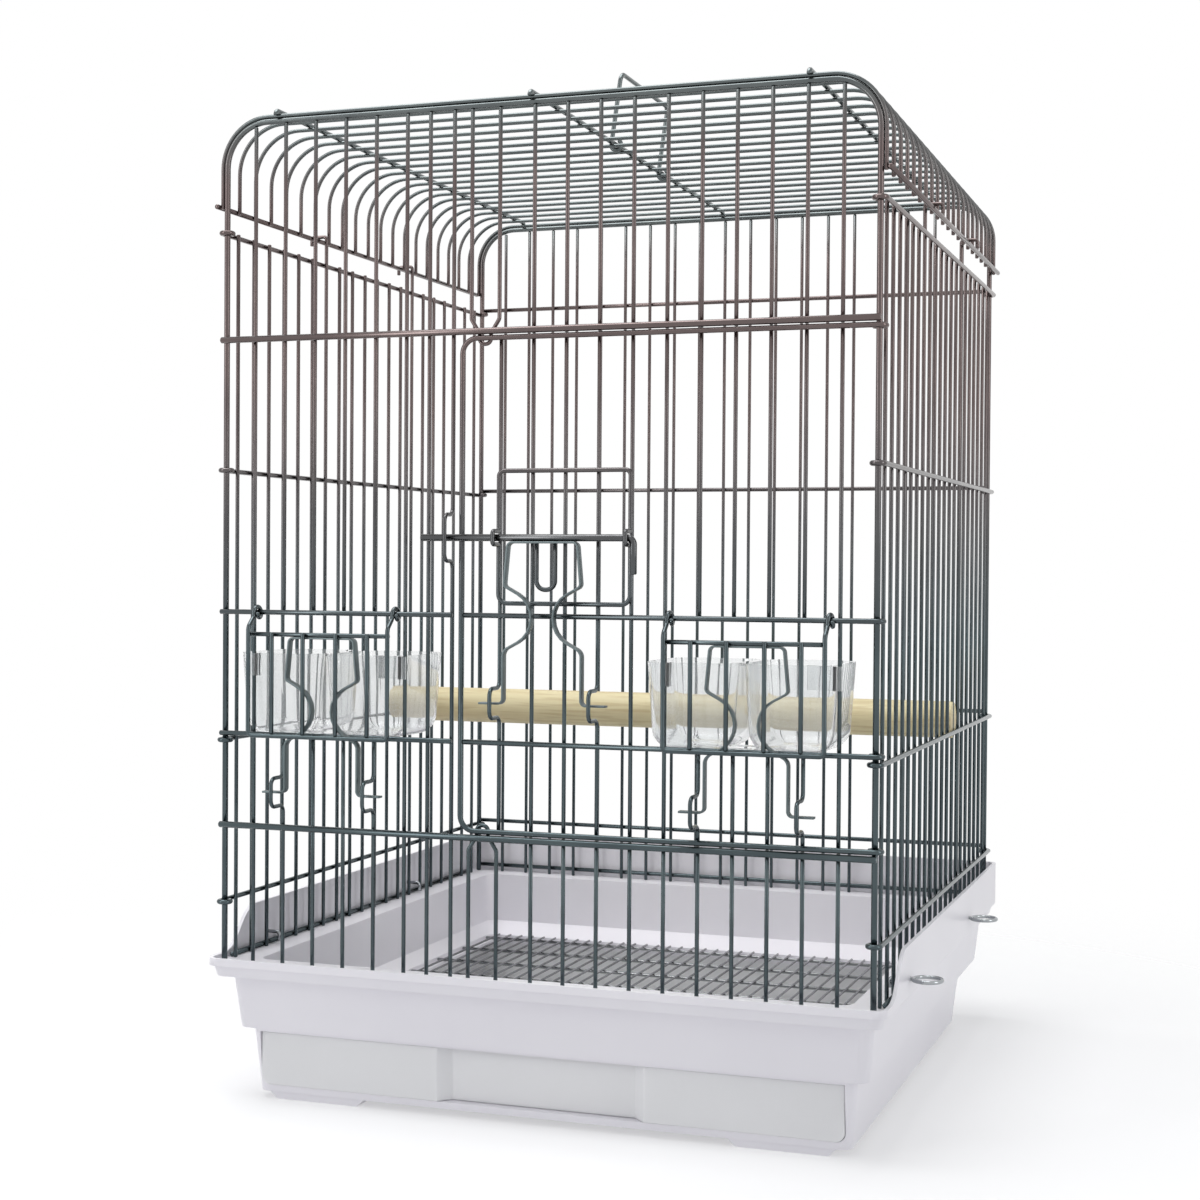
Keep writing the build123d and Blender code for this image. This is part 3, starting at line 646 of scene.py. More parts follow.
@dataclass
class CageSizes:
    """Sizes that the panels and doors share, in millimetres."""

    cage: float = 446.0
    frame_top: float = 661.7
    top_rail_z: float = 516.0
    feeder_rail_z: float = 333.0
    cup_rail_z: float = 251.0
    bottom_rail_z: float = 189.0
    side_rail_heights: tuple[float, ...] = (136.0, 246.0, 428.5, 588.5)
    roof_edge_z: float = 606.5
    roof_rail_shift: float = -3.0
    frame_corner: float = 30.0
    post: float = 4.0
    rail: float = 3.4
    heavy_rail: float = 4.3
    upright: float = 2.7
    door_wire: float = 3.5
    feeder_wire: float = 3.0
    bolt: float = 4.6
    weld: float = 0.03
    play: float = 0.35
    door_gap: float = 0.5
    slide_play: float = 0.4
    front_spaces: int = 20
    side_margin: float = 16.0
    side_wires: int = 20
    eye_turn: float = 250.0
    door_left: float = -48.0
    door_first: int = 9
    keeper_gap: float = 6.0
    loop_space: float = 19.4
    bolt_z: float = 383.0
    bolt_out: float = 10.2
    feeder_first: int = 1
    feeder_spaces: int = 5
    feeder_out: float = 15.0
    feeder_bar_rail_z: float = 318.5
    spring_thick: float = 1.3
    spring_deep: float = 6.0
    spring_tall: float = 103.0
    staple_tall: float = 19.0
    staple_deep: float = 17.0
    staple_bend: float = 4.86
    ledge_z: float = 95.0

    def __post_init__(self) -> None:
        """Work out the sizes that follow from these."""
        self.half = self.cage / 2
        self.pitch = self.cage / self.front_spaces
        self.side_pitch = (self.cage - 2 * self.side_margin) / (self.side_wires - 1)
        self.wire_foot = self.ledge_z + self.weld
        # The door swings in front of the posts, and the uprights of front and door lie behind its frame
        self.rail_out = self.post / 2 + self.play + self.door_wire / 2
        self.door_y = -self.half - self.rail_out
        self.upright_y = self.door_y + self.door_wire / 2 + self.weld + self.upright / 2
        above = self.heavy_rail / 2 + self.door_gap + self.door_wire / 2
        self.door_top_z = self.top_rail_z - above
        self.door_low_z = self.bottom_rail_z + above
        self.keeper_x = self.door_left - self.door_wire / 2 - self.keeper_gap
        self.bolt_y = -self.half - self.bolt_out
        self.feeder_y = -self.half - self.feeder_out
        self.feeder_last = self.feeder_first + self.feeder_spaces
        # Side rails lie outside the posts, and their wires inside the rails
        self.side_rail_out = self.post / 2 + self.weld + self.rail / 2
        inside = self.rail / 2 + self.weld + self.upright / 2
        self.side_wire_x = self.half + self.side_rail_out - inside
        # Roof wires lie on the panel frames, and the roof's rails on its wires
        self.roof_wire_out = self.post / 2 + self.weld + self.upright / 2
        outside = self.roof_wire_out + self.upright / 2 + self.weld + self.rail / 2
        self.roof_edge_x = self.half + outside
        self.roof_rail_z = self.frame_top + outside
        # Each spring hangs under its rail or bolt and ends in tabs
        hang = self.weld + self.spring_thick / 2 + self.spring_tall
        self.feeder_tab_z = self.feeder_bar_rail_z - self.feeder_wire / 2 - hang
        self.bolt_tab_z = self.bolt_z - self.bolt / 2 - hang

    def front_x(self, space: float) -> float:
        """X of the front upright at a count of spaces from the left post."""
        return -self.half + space * self.pitch

    def side_y(self, index: int) -> float:
        """Y of a side wire, counted from the front."""
        return -self.half + self.side_margin + index * self.side_pitch

    def feeder_x(self, side: Side) -> float:
        """X of the middle of a feeder opening."""
        return side.value * abs(self.front_x((self.feeder_first + self.feeder_last) / 2))

    def under_frame(self, x: float) -> float:
        """Height where an upright meets the underside of a panel frame and its corner bends.

        Args:
            x: X of the upright.

        Returns:
            Height of the upright's upper end.
        """
        inner = self.frame_corner - self.post / 2
        past = max(0.0, abs(x) + self.upright / 2 - self.half + self.frame_corner)
        return self.frame_top - self.frame_corner + math.sqrt(inner**2 - past**2) - self.weld


@dataclass
class Assembly:
    """Pieces that one body carries, with the sizes and finishes that they share."""

    sizes: CageSizes
    finishes: Finishes
    body: str = "cage"

    def put(
        self,
        node: str,
        surfaces: Sequence[Surface],
        slot: Slot = Slot.WIRE,
        finish: bpy.types.Material | None = None,
    ) -> None:
        """Make one piece, put it in place of its solid and give it its finish.

        Args:
            node: Name of the solid that the piece stands for.
            surfaces: Surfaces of the piece.
            slot: Material slot of the record; not used.
            finish: Material, or none for plated wire.
        """
        piece = make_mesh(f"{node}_piece", surfaces)
        piece.data.materials.append(finish or self.finishes.wire)
        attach(piece, self.body)
        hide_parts(node)
        log.info("%s rides on %s: %d faces", piece.name, self.body, len(piece.data.polygons))

    def staple(self, x: float, z: float, low: float, high: float, out: float, tall: float) -> Surface:
        """Upright with a square kink that stands out in front of the panel.

        Args:
            x: X of the upright.
            z: Height of the middle of the kink.
            low: Height of the lower end.
            high: Height of the upper end.
            out: How far the kink stands out.
            tall: Height of the kink.

        Returns:
            The surface.
        """
        s = self.sizes
        y = s.upright_y
        under, over = z - tall / 2, z + tall / 2
        line = [(y, low), (y, under), (y - out, under), (y - out, over), (y, over), (y, high)]
        return bent_rod([(x, *pair) for pair in line], s.staple_bend, s.upright)

    def upright(self, x: float, low: float, high: float) -> Surface:
        """Straight upright of the front or the door."""
        s = self.sizes
        return rod((x, s.upright_y, low), (x, s.upright_y, high), s.upright)

    def panel_frame(self, y: float) -> Surface:
        """Two corner posts and the top of a panel, bent from one wire.

        Args:
            y: Y of the panel.

        Returns:
            The surface.
        """
        s = self.sizes
        points = hoop(-s.half, s.half, [(y, s.wire_foot), (y, s.frame_top)])
        return bent_rod(points, s.frame_corner, s.post, steps=16, sides=16)


@dataclass
class FrontPanel(Assembly):
    """Fixed part of the front: frame, uprights, rails, the bolt's keeper and the two door stops."""

    keeper_tall: float = 30.0
    narrow_space: float = 17.0
    stop_neck: float = 16.0
    stop_throat: float = 6.72
    stop_tip: float = 3.9
    stop_bend: float = 0.9

    def build(self) -> None:
        """Make the pieces of the front."""
        s = self.sizes
        loop_mid = s.door_left + s.door_wire / 2 + s.loop_space / 2 + 4 * s.weld + s.upright
        upper_tip = s.door_top_z - s.door_wire
        lower_tip = s.door_low_z + s.door_wire
        self.put("front_frame", [self.panel_frame(-s.half)])
        self.put("front_uprights", self.uprights())
        self.put("keeper_upright", [self.keeper()])
        self.put("front_rails", self.rails())
        self.put("door_stop_upper", [self.door_stop(loop_mid, s.under_frame(loop_mid), upper_tip)])
        self.put("door_stop_lower", [self.door_stop(loop_mid, s.wire_foot, lower_tip)])

    def uprights(self) -> list[Surface]:
        """Uprights left of the door, over the feeder opening, above the door and below it.

        Returns:
            One surface for each upright.
        """
        s = self.sizes
        reach = s.rail / 2
        full = [s.front_x(s.feeder_first), s.front_x(s.feeder_last), s.keeper_x - self.narrow_space]
        made = [self.upright(x, s.wire_foot, s.under_frame(x)) for x in full]
        spaces = range(s.feeder_first + 1, s.feeder_last)
        for space in spaces:
            x = s.front_x(space)
            made.append(self.upright(x, s.feeder_rail_z - reach, s.under_frame(x)))
            low, high = s.wire_foot, s.cup_rail_z + reach
            if space in (spaces[0], spaces[-1]):
                made.append(self.staple(x, s.feeder_tab_z, low, high, s.staple_deep, s.staple_tall))
            else:
                made.append(self.upright(x, low, high))
        for space in range(s.door_first + 1, s.front_spaces):
            x = s.front_x(space)
            made.append(self.upright(x, s.top_rail_z - s.heavy_rail / 2, s.under_frame(x)))
            made.append(self.upright(x, s.wire_foot, s.bottom_rail_z + s.heavy_rail / 2))
        return made

    def keeper(self) -> Surface:
        """Upright beside the door, kinked out around the bolt.

        Returns:
            The surface.
        """
        s = self.sizes
        out = s.upright_y - s.bolt_y + s.bolt / 2 + s.slide_play + s.upright / 2
        high = s.under_frame(s.keeper_x)
        return self.staple(s.keeper_x, s.bolt_z, s.wire_foot, high, out, self.keeper_tall)

    def rails(self) -> list[Surface]:
        """Full rails above and below the door, and the two rails of the left feeder opening.

        Returns:
            One surface for each rail.
        """
        s = self.sizes
        face = s.upright_y - s.upright / 2 - s.weld
        edge = s.half + s.post / 2
        made = []
        for z in (s.top_rail_z, s.bottom_rail_z):
            y = face - s.heavy_rail / 2
            made.append(rod((-edge, y, z), (edge, y, z), s.heavy_rail))
        for z in (s.feeder_rail_z, s.cup_rail_z):
            y = face - s.rail / 2
            made.append(rod((-edge, y, z), (s.keeper_x + s.upright / 2, y, z), s.rail))
        return made

    def door_stop(self, middle: float, far_z: float, tip_z: float) -> Surface:
        """Two uprights joined by a narrow loop behind the edge of the closed door.

        Args:
            middle: X of the middle of the loop.
            far_z: Height of the far ends of the uprights.
            tip_z: Height of the loop's tip.

        Returns:
            The surface.
        """
        s = self.sizes
        y = s.upright_y + s.play + s.weld
        away = 1 if far_z > tip_z else -1
        neck = tip_z + away * self.stop_neck
        throat = tip_z + away * self.stop_throat
        wide = s.loop_space / 2
        half = [(wide, far_z), (wide, neck), (self.stop_tip, throat), (self.stop_tip, tip_z)]
        return bent_rod(both_halves(middle, y, half), self.stop_tip * self.stop_bend, s.upright)


@dataclass
class BackPanel(Assembly):
    """Closed back of the cage: frame, uprights and rails."""

    def build(self) -> None:
        """Make the pieces of the back."""
        s = self.sizes
        y = s.half + s.post / 2 - s.upright / 2
        rail_y = s.half + s.post / 2 + s.weld + s.rail / 2
        lift = s.rail + 4 * s.weld
        uprights = []
        for space in range(1, s.front_spaces):
            x = s.front_x(space)
            uprights.append(rod((x, y, s.wire_foot), (x, y, s.under_frame(x)), s.upright))
        heights = [z + lift for z in (s.wire_foot + s.rail / 2, *s.side_rail_heights)]
        rails = [rod((-s.half, rail_y, z), (s.half, rail_y, z), s.rail) for z in heights]
        self.put("back_frame", [self.panel_frame(s.half)])
        self.put("back_uprights", uprights)
        self.put("back_rails", rails)


@dataclass
class SidePanel(Assembly):
    """Left or right panel: eyed rails round the posts, and wires, two of which hook the roof on."""

    side: Side = Side.LEFT
    hook_wires: tuple[int, int] = (6, 13)
    hook_bend: float = 0.8

    def build(self) -> None:
        """Make the pieces of this side."""
        name = self.side.name.lower()
        self.put(f"{name}_side_rails", self.rails())
        self.put(f"{name}_side_wires", self.wires())

    def rails(self) -> list[Surface]:
        """Four rails whose ends curl into eyes round the posts, and the straight foot rail.

        Returns:
            One surface for each rail.
        """
        s = self.sizes
        sign = self.side.value
        post_x = sign * s.half
        out = (sign, 0, 0)
        reach = s.side_rail_out
        turn = s.eye_turn
        made = []
        for z in s.side_rail_heights:
            front = arc_path((post_x, -s.half, z), out, (0, -1, 0), reach, turn, -turn)
            back = arc_path((post_x, s.half, z), out, (0, 1, 0), reach, 0, turn)
            made.append(carry(np.vstack([front, back]), round_section(s.rail)))
        x = post_x + sign * reach
        z = s.wire_foot + s.rail / 2
        first = s.side_y(0)
        made.append(rod((x, first, z), (x, -first, z), s.rail))
        return made

    def wires(self) -> list[Surface]:
        """Straight wires up to the top rail, and two that run on and hook over the roof's edge rail.

        Returns:
            One surface for each wire.
        """
        s = self.sizes
        sign = self.side.value
        x = sign * s.side_wire_x
        outer = sign * (s.roof_edge_x + s.rail + s.upright + 4 * s.weld)
        top = s.side_rail_heights[-1] + s.rail / 2
        over = s.roof_edge_z + s.rail / 2 + s.upright / 2 + 2 * s.weld
        made = []
        for index in range(s.side_wires):
            y = s.side_y(index)
            foot = (x, y, s.wire_foot)
            if index in self.hook_wires:
                points = [foot, (x, y, over), (outer, y, over), (outer, y, s.roof_edge_z - s.rail)]
                made.append(bent_rod(points, s.upright * self.hook_bend, s.upright))
            else:
                made.append(rod(foot, (x, y, top), s.upright))
        return made


@dataclass
class Roof(Assembly):
    """Roof panel: wires bent down at both sides, edge rails and three rails along the top."""

    rail_in: float = 41.0

    def build(self) -> None:
        """Make the pieces of the roof."""
        s = self.sizes
        rail_x = s.half - self.rail_in
        reach = s.half + s.rail
        z = s.roof_edge_z
        edges = [rod((x, -reach, z), (x, reach, z), s.rail) for x in (-s.roof_edge_x, s.roof_edge_x)]
        rails = [self.top_rail(x + s.roof_rail_shift) for x in (-rail_x, 0.0, rail_x)]
        self.put("roof_wires", self.wires())
        self.put("roof_edge_rails", edges)
        self.put("roof_rails", rails)

    def wires(self) -> list[Surface]:
        """Wires across the roof, bent down at both sides.

        Returns:
            One surface for each wire.
        """
        s = self.sizes
        low = s.roof_edge_z - s.rail / 2
        high = s.frame_top + s.roof_wire_out
        x = s.half + s.roof_wire_out
        made = []
        for space in range(s.front_spaces + 1):
            y = s.front_x(space)
            points = hoop(-x, x, [(y, low), (y, high)])
            made.append(bent_rod(points, s.frame_corner + s.roof_wire_out, s.upright, steps=16))
        return made

    def top_rail(self, x: float) -> Surface:
        """Rail along the top, turned down over the first and last wires.

        Args:
            x: X of the rail.

        Returns:
            The surface.
        """
        s = self.sizes
        z = s.frame_top + s.roof_wire_out
        radius = s.roof_rail_z - z
        front = arc_path((x, -s.half, z), (0, -1, 0), (0, 0, 1), radius, 0, 90)
        back = arc_path((x, s.half, z), (0, 0, 1), (0, 1, 0), radius, 0, 90)
        return carry(np.vstack([front, back]), round_section(s.rail))


@dataclass
class CarryHandle(Assembly):
    """Bail whose two eyes turn on the middle roof rail."""

    body: str = "handle"
    wire: float = 3.2
    tall: float = 51.0
    lean: float = 8.0
    spaces: Pair = (7.5, 12.5)
    corner: float = 6.0

    def build(self) -> None:
        """Make the bail upright and lean it about the rail."""
        s = self.sizes
        radius = s.rail / 2 + s.play + self.wire / 2
        low, high = (s.front_x(space) for space in self.spaces)
        side = [(low, 0.0), (low, self.tall), (high, self.tall), (high, 0.0)]
        legs = bent_path([(-radius, y, z) for y, z in side], self.corner)
        start = arc_path((0, low, 0), (-1, 0, 0), (0, 0, -1), radius, s.eye_turn, -s.eye_turn)
        end = arc_path((0, high, 0), (-1, 0, 0), (0, 0, -1), radius, 0, s.eye_turn)
        path = np.vstack([start[:-1], legs, end[1:]])
        # Turned about the rail: x cos a + z sin a across, and z cos a - x sin a up
        lean = math.radians(self.lean)
        across = path[:, 0] * math.cos(lean) + path[:, 2] * math.sin(lean)
        rise = path[:, 2] * math.cos(lean) - path[:, 0] * math.sin(lean)
        path = np.column_stack([across + s.roof_rail_shift, path[:, 1], rise + s.roof_rail_z])
        self.put("carry_handle", [carry(path, round_section(self.wire, 16))])


@dataclass
class MainDoor(Assembly):
    """Door hung on the right front post: frame, rails, uprights and the bolt's guide."""

    body: str = "main_door"
    corner: float = 10.0
    guide_low: float = 341.0
    guide_high: float = 426.0
    guide_right: int = 13
    guide_corner: float = 6.0
    kink_bend: float = 0.75
    upper_share: float = 0.6

    def build(self) -> None:
        """Make the pieces of the door."""
        s = self.sizes
        start = s.door_left + s.door_wire / 2 + s.weld
        rails = []
        for z in (s.feeder_rail_z, s.cup_rail_z):
            path = np.vstack([[(start, s.door_y, z)], self.eye(z)])
            rails.append(carry(path, round_section(s.rail)))
        self.put("door_frame", [self.outline()])
        self.put("door_rails", rails)
        self.put("door_uprights", self.uprights())
        self.put("latch_guide", [self.guide()])

    def eye(self, z: float) -> np.ndarray:
        """Hinge eye round the right front post, from the front of the post."""
        s = self.sizes
        return arc_path((s.half, -s.half, z), (1, 0, 0), (0, 1, 0), s.rail_out, -90, s.eye_turn)

    def outline(self) -> Surface:
        """Top, left side and bottom of the door in one wire that ends in hinge eyes.

        Returns:
            The surface.
        """
        s = self.sizes
        line = [
            (s.half, s.door_top_z), (s.door_left, s.door_top_z),
            (s.door_left, s.door_low_z), (s.half, s.door_low_z),
        ]
        bent = bent_path([(x, s.door_y, z) for x, z in line], self.corner)
        path = np.vstack([self.eye(s.door_top_z)[:0:-1], bent, self.eye(s.door_low_z)[1:]])
        return carry(path, round_section(s.door_wire, 16))

    def uprights(self) -> list[Surface]:
        """Door wires: some stop at the feeder opening, and four are kinked into staples.

        Returns:
            One surface for each wire.
        """
        s = self.sizes
        low = s.door_low_z - s.door_wire / 2 + s.weld
        high = s.door_top_z + s.door_wire / 2 - s.weld
        reach = s.rail / 2
        cut = range(s.front_spaces - s.feeder_last + 1, s.front_spaces - s.feeder_first)
        made = []
        for space in range(s.door_first, s.front_spaces):
            x = s.front_x(space)
            if space in (s.door_first, s.door_first + 3):
                made.append(self.staple(x, s.bolt_tab_z, low, high, s.staple_deep, s.staple_tall))
            elif space in cut:
                end = s.cup_rail_z + reach
                made.append(self.upright(x, s.feeder_rail_z - reach, high))
                if space in (cut[0], cut[-1]):
                    made.append(self.staple(x, s.feeder_tab_z, low, end, s.staple_deep, s.staple_tall))
                else:
                    made.append(self.upright(x, low, end))
            else:
                made.append(self.upright(x, low, high))
        return made

    def guide(self) -> Surface:
        """Wire rectangle on the door whose sides are kinked out around the bolt.

        Returns:
            The surface.
        """
        s = self.sizes
        wire = s.feeder_wire
        y = s.upright_y - s.upright / 2 - s.weld - wire / 2
        front = s.bolt_y - s.bolt / 2 - s.slide_play - wire / 2
        kink = s.bolt / 2 + s.slide_play + wire / 2
        under, over = s.bolt_z - kink, s.bolt_z + kink
        left = s.front_x(s.door_first)
        right = s.front_x(self.guide_right)
        middle = (left + right) / 2
        side = [
            (y, self.guide_low), (y, under), (front, under),
            (front, over), (y, over), (y, self.guide_high),
        ]
        ends = [(x, y, self.guide_low) for x in (middle, middle - s.weld)]
        points = [ends[0], *hoop(left, right, side), ends[1]]
        kinks = [wire * self.kink_bend] * 4
        half = [self.guide_corner, *kinks, self.guide_corner * self.upper_share]
        return bent_rod(points, [*half, *reversed(half)], wire)


@dataclass
class PinchSpring:
    """Hourglass strip spring: a lobe, a waist and two legs whose tabs sit in staples."""

    sizes: CageSizes
    lobe: float = 52.0
    top: float = 47.0
    waist_share: float = 0.53
    rise_share: float = 0.2
    waist_turn: float = 17.5
    cross: float = 24.0
    leg: float = 53.0
    span: float = 86.0
    bend: float = 3.25
    knee_bend: float = 5.85
    edge: float = 0.35

    def surface(self, x: float, y: float, tab_z: float) -> Surface:
        """Strip carried along the spring's line.

        Args:
            x: X of the middle of the spring.
            y: Y of the middle of the strip.
            tab_z: Height of the tabs.

        Returns:
            The surface.
        """
        s = self.sizes
        waist = tab_z + self.waist_share * s.spring_tall
        rise = self.rise_share * s.spring_tall
        half = [
            (self.span / 2, tab_z), (self.leg / 2, tab_z), (self.leg / 2, waist - rise),
            (-self.cross / 2, waist), (self.lobe / 2, waist + rise), (self.top / 2, tab_z + s.spring_tall),
        ]
        turns = [self.bend, self.knee_bend, self.waist_turn, self.bend, self.bend]
        path = bent_path(both_halves(x, y, half), [*turns, *reversed(turns)])
        return carry(path, strip_section(s.spring_deep, s.spring_thick, self.edge), normal=(0, 1, 0))


@dataclass
class Latch(Assembly):
    """Sliding bolt with its finger loop and its spring."""

    body: str = "bolt"
    left: float = -74.0
    right: float = 71.0
    drop: float = 23.0
    loop_width: float = 12.6
    loop_low: float = 350.0
    bolt_bend: float = 0.9
    loop_bend: float = 0.92

    def build(self) -> None:
        """Make the pieces of the bolt."""
        s = self.sizes
        line = [(self.left, s.bolt_z), (self.right, s.bolt_z), (self.right, s.bolt_z - self.drop)]
        points = [(x, s.bolt_y, z) for x, z in line]
        spring_x = s.front_x(s.door_first + 1.5)
        wide = self.loop_width / 2
        y = s.bolt_y + s.bolt / 2 + s.weld + s.feeder_wire / 2
        top = s.bolt_z + s.bolt / 2
        loop = hoop(spring_x - wide, spring_x + wide, [(y, top), (y, self.loop_low)])
        spring_y = s.bolt_y + s.bolt / 2 - s.play - s.spring_deep / 2
        spring = PinchSpring(s).surface(spring_x, spring_y, s.bolt_tab_z)
        self.put("latch_bolt", [bent_rod(points, s.bolt * self.bolt_bend, s.bolt, sides=18)])
        self.put("bolt_pull_loop", [bent_rod(loop, wide * self.loop_bend, s.feeder_wire)])
        self.put("bolt_spring", [spring], Slot.SPRING, self.finishes.spring)


@dataclass
class FeederDoor(Assembly):
    """Small door over a feed cup: frame coiled round the feeder rail, bars and latch spring."""

    side: Side = Side.LEFT
    width: float = 102.0
    shift: float = -1.5
    bars: tuple[float, ...] = (-35.0, -12.0, 12.0, 35.0)
    knee_rise: float = 1.6
    bends: tuple[float, ...] = (1.7, 2.0, 1.0)

    def build(self) -> None:
        """Make the pieces of this feeder door."""
        s = self.sizes
        name = self.side.name.lower()
        self.body = f"{name}_feeder_door"
        middle = s.feeder_x(self.side)
        left = middle + self.shift - self.width / 2
        right = left + self.width
        spring_y = s.feeder_y + s.feeder_wire / 2 + s.slide_play + s.spring_deep / 2
        spring = PinchSpring(s).surface(middle, spring_y, s.feeder_tab_z)
        self.put(f"{name}_feeder_frame", [self.outline(left, right)])
        self.put(f"{name}_feeder_bars", self.bar_set(middle, left, right))
        self.put(f"{name}_feeder_spring", [spring], Slot.SPRING, self.finishes.spring)

    def outline(self, left: float, right: float) -> Surface:
        """U-shaped wire that hangs on the feeder rail by one coil on each side.

        Args:
            left: X of the left side.
            right: X of the right side.

        Returns:
            The surface.
        """
        s = self.sizes
        wire = s.feeder_wire
        radius = s.rail / 2 + s.play + wire / 2
        front = s.door_y - radius
        knee = s.feeder_bar_rail_z + self.knee_rise * wire
        side = [
            (front, s.feeder_rail_z), (front, s.feeder_rail_z - wire),
            (s.feeder_y, knee), (s.feeder_y, s.cup_rail_z),
        ]
        turns = [share * wire for share in self.bends]
        legs = bent_path(hoop(left, right, side), [*turns, *reversed(turns)])
        advance = (wire + s.weld, 0, 0)
        coils = []
        for x in (left, right):
            centre = (x, s.door_y, s.feeder_rail_z)
            coils.append(arc_path(centre, (0, -1, 0), (0, 0, 1), radius, 0, 360, advance))
        path = np.vstack([coils[0][:0:-1], legs, coils[1][1:]])
        return carry(path, round_section(wire))

    def bar_set(self, middle: float, left: float, right: float) -> list[Surface]:
        """Inner rail behind the door's sides, and the bars in front of it.

        Args:
            middle: X of the middle of the opening.
            left: X of the door's left side.
            right: X of the door's right side.

        Returns:
            One surface for each wire.
        """
        s = self.sizes
        wire = s.feeder_wire
        rail_y = s.feeder_y + wire + s.weld
        z = s.feeder_bar_rail_z
        low, high = s.cup_rail_z + wire / 2 + s.weld, z + wire / 2
        made = [rod((left, rail_y, z), (right, rail_y, z), wire)]
        for across in self.bars:
            x = middle + across
            made.append(rod((x, s.feeder_y, low), (x, s.feeder_y, high), wire))
        return made


@dataclass
class FeedCup(Assembly):
    """Clear cup behind a feeder opening: two bowls under one rim, two ears round uprights, and a sill."""

    side: Side = Side.LEFT
    wide: float = 124.0
    deep: float = 78.0
    tall: float = 56.0
    wall: float = 1.8
    shift: float = -10.0
    taper: float = 8.0
    corner: float = 16.0
    foot_round: float = 13.0
    ear: float = 15.0
    sill: float = 60.0
    sill_in: float = 0.6
    bowl_gap: float = 3.0
    least_corner: float = 1.0
    foot_steps: int = 10
    corner_steps: int = 9

    def build(self) -> None:
        """Make the cup of this side."""
        s = self.sizes
        name = self.side.name.lower()
        self.body = f"{name}_feed_cup"
        opening_x = s.feeder_x(self.side)
        middle = opening_x + self.shift
        front = s.upright_y + s.upright / 2 + s.slide_play
        top = s.cup_rail_z - s.rail / 2 + self.tall
        half_bowl = (self.wide - self.bowl_gap) / 4
        reach = self.bowl_gap / 2
        made = []
        for sign in (-1, 1):
            bowl_x = middle + sign * (half_bowl + reach)
            made.append(self.bowl(bowl_x, front + self.deep / 2, half_bowl))
        inner = (middle - reach, front + self.corner, top - self.wall)
        made.append(block(inner, (middle + reach, front + self.deep - self.corner, top)))
        for sign in (-1, 1):
            upright_x = opening_x - sign * s.feeder_spaces * s.pitch / 2
            wall_x = middle - sign * (self.wide / 2 - self.corner)
            made += self.ears(sign, upright_x, front, wall_x, top)
        sill_z = s.cup_rail_z + s.rail / 2 + s.weld
        outer = (middle - self.sill / 2, s.door_y, sill_z)
        inner = (middle + self.sill / 2, front + self.sill_in * self.foot_round, sill_z + self.wall)
        made.append(block(outer, inner))
        self.put(f"{name}_cup", made, Slot.CLEAR, self.finishes.clear)

    def bowl(self, middle_x: float, middle_y: float, half_wide: float) -> Surface:
        """Thin bowl of rounded-rectangle rings, from the outer floor over the rim to the inner floor.

        The lower edge turns from q = 0 to 90 degrees, so a ring lies R (1 - cos q) above the floor and
        is drawn in by R (1 - sin q), and by the taper's share of its depth below the rim. The inside is
        also drawn in by the wall. A ring's corners keep what is left of the corner radius.

        Args:
            middle_x: X of the middle of the bowl.
            middle_y: Y of the middle of the bowl.
            half_wide: Half the width of the bowl at its rim.

        Returns:
            The surface.
        """
        s = self.sizes
        turn = np.linspace(0, np.pi / 2, self.foot_steps)
        rises = []
        draws = []
        for inset, order in ((0.0, 1), (self.wall, -1)):
            radius = self.foot_round - inset
            rise = np.append(inset + radius * (1 - np.cos(turn)), self.tall)
            draw = inset + np.append(radius * (1 - np.sin(turn)), 0.0)
            draw = draw + self.taper / 2 * (1 - rise / self.tall)
            rises.append(rise[::order])
            draws.append(draw[::order])
        rise = np.concatenate(rises)[:, None]
        draw = np.concatenate(draws)[:, None]
        rounding = np.maximum(self.corner - draw, self.least_corner)
        quarter = np.linspace(0, np.pi / 2, self.corner_steps)
        angle = (quarter + np.pi / 2 * np.arange(4)[:, None]).ravel()
        to_x = np.repeat([1.0, -1.0, -1.0, 1.0], self.corner_steps)
        to_y = np.repeat([1.0, 1.0, -1.0, -1.0], self.corner_steps)
        x = middle_x + to_x * (half_wide - draw - rounding) + rounding * np.cos(angle)
        y = middle_y + to_y * (self.deep / 2 - draw - rounding) + rounding * np.sin(angle)
        z = s.cup_rail_z - s.rail / 2 + rise + 0 * angle
        return skin(np.stack([x, y, z], axis=-1))

    def ears(self, sign: int, upright_x: float, front: float, wall_x: float, top: float) -> list[Surface]:
        """Stem beside an upright, lip in front of it and strap to the cup.

        Args:
            sign: 1 on the left of the cup, -1 on the right.
            upright_x: X of the upright.
            front: Y of the front of the cup.
            wall_x: X where the strap joins the cup.
            top: Height of the rim.

        Returns:
            The three surfaces.
        """
        s = self.sizes
        gap = s.upright / 2 + s.slide_play
        low = top - self.ear
        near = front - s.upright - 2 * s.slide_play - self.wall
        half = self.wall / 2
        stem_x = upright_x + sign * (gap + half)
        lip_x = upright_x + sign * half
        left, right = sorted((stem_x, wall_x))
        return [
            block((stem_x - half, near + self.wall, low), (stem_x + half, front, top)),
            block((lip_x - gap - half, near, low), (lip_x + gap + half, near + self.wall, top)),
            block((left - half, front, low), (right + half, front + self.wall, top)),
        ]


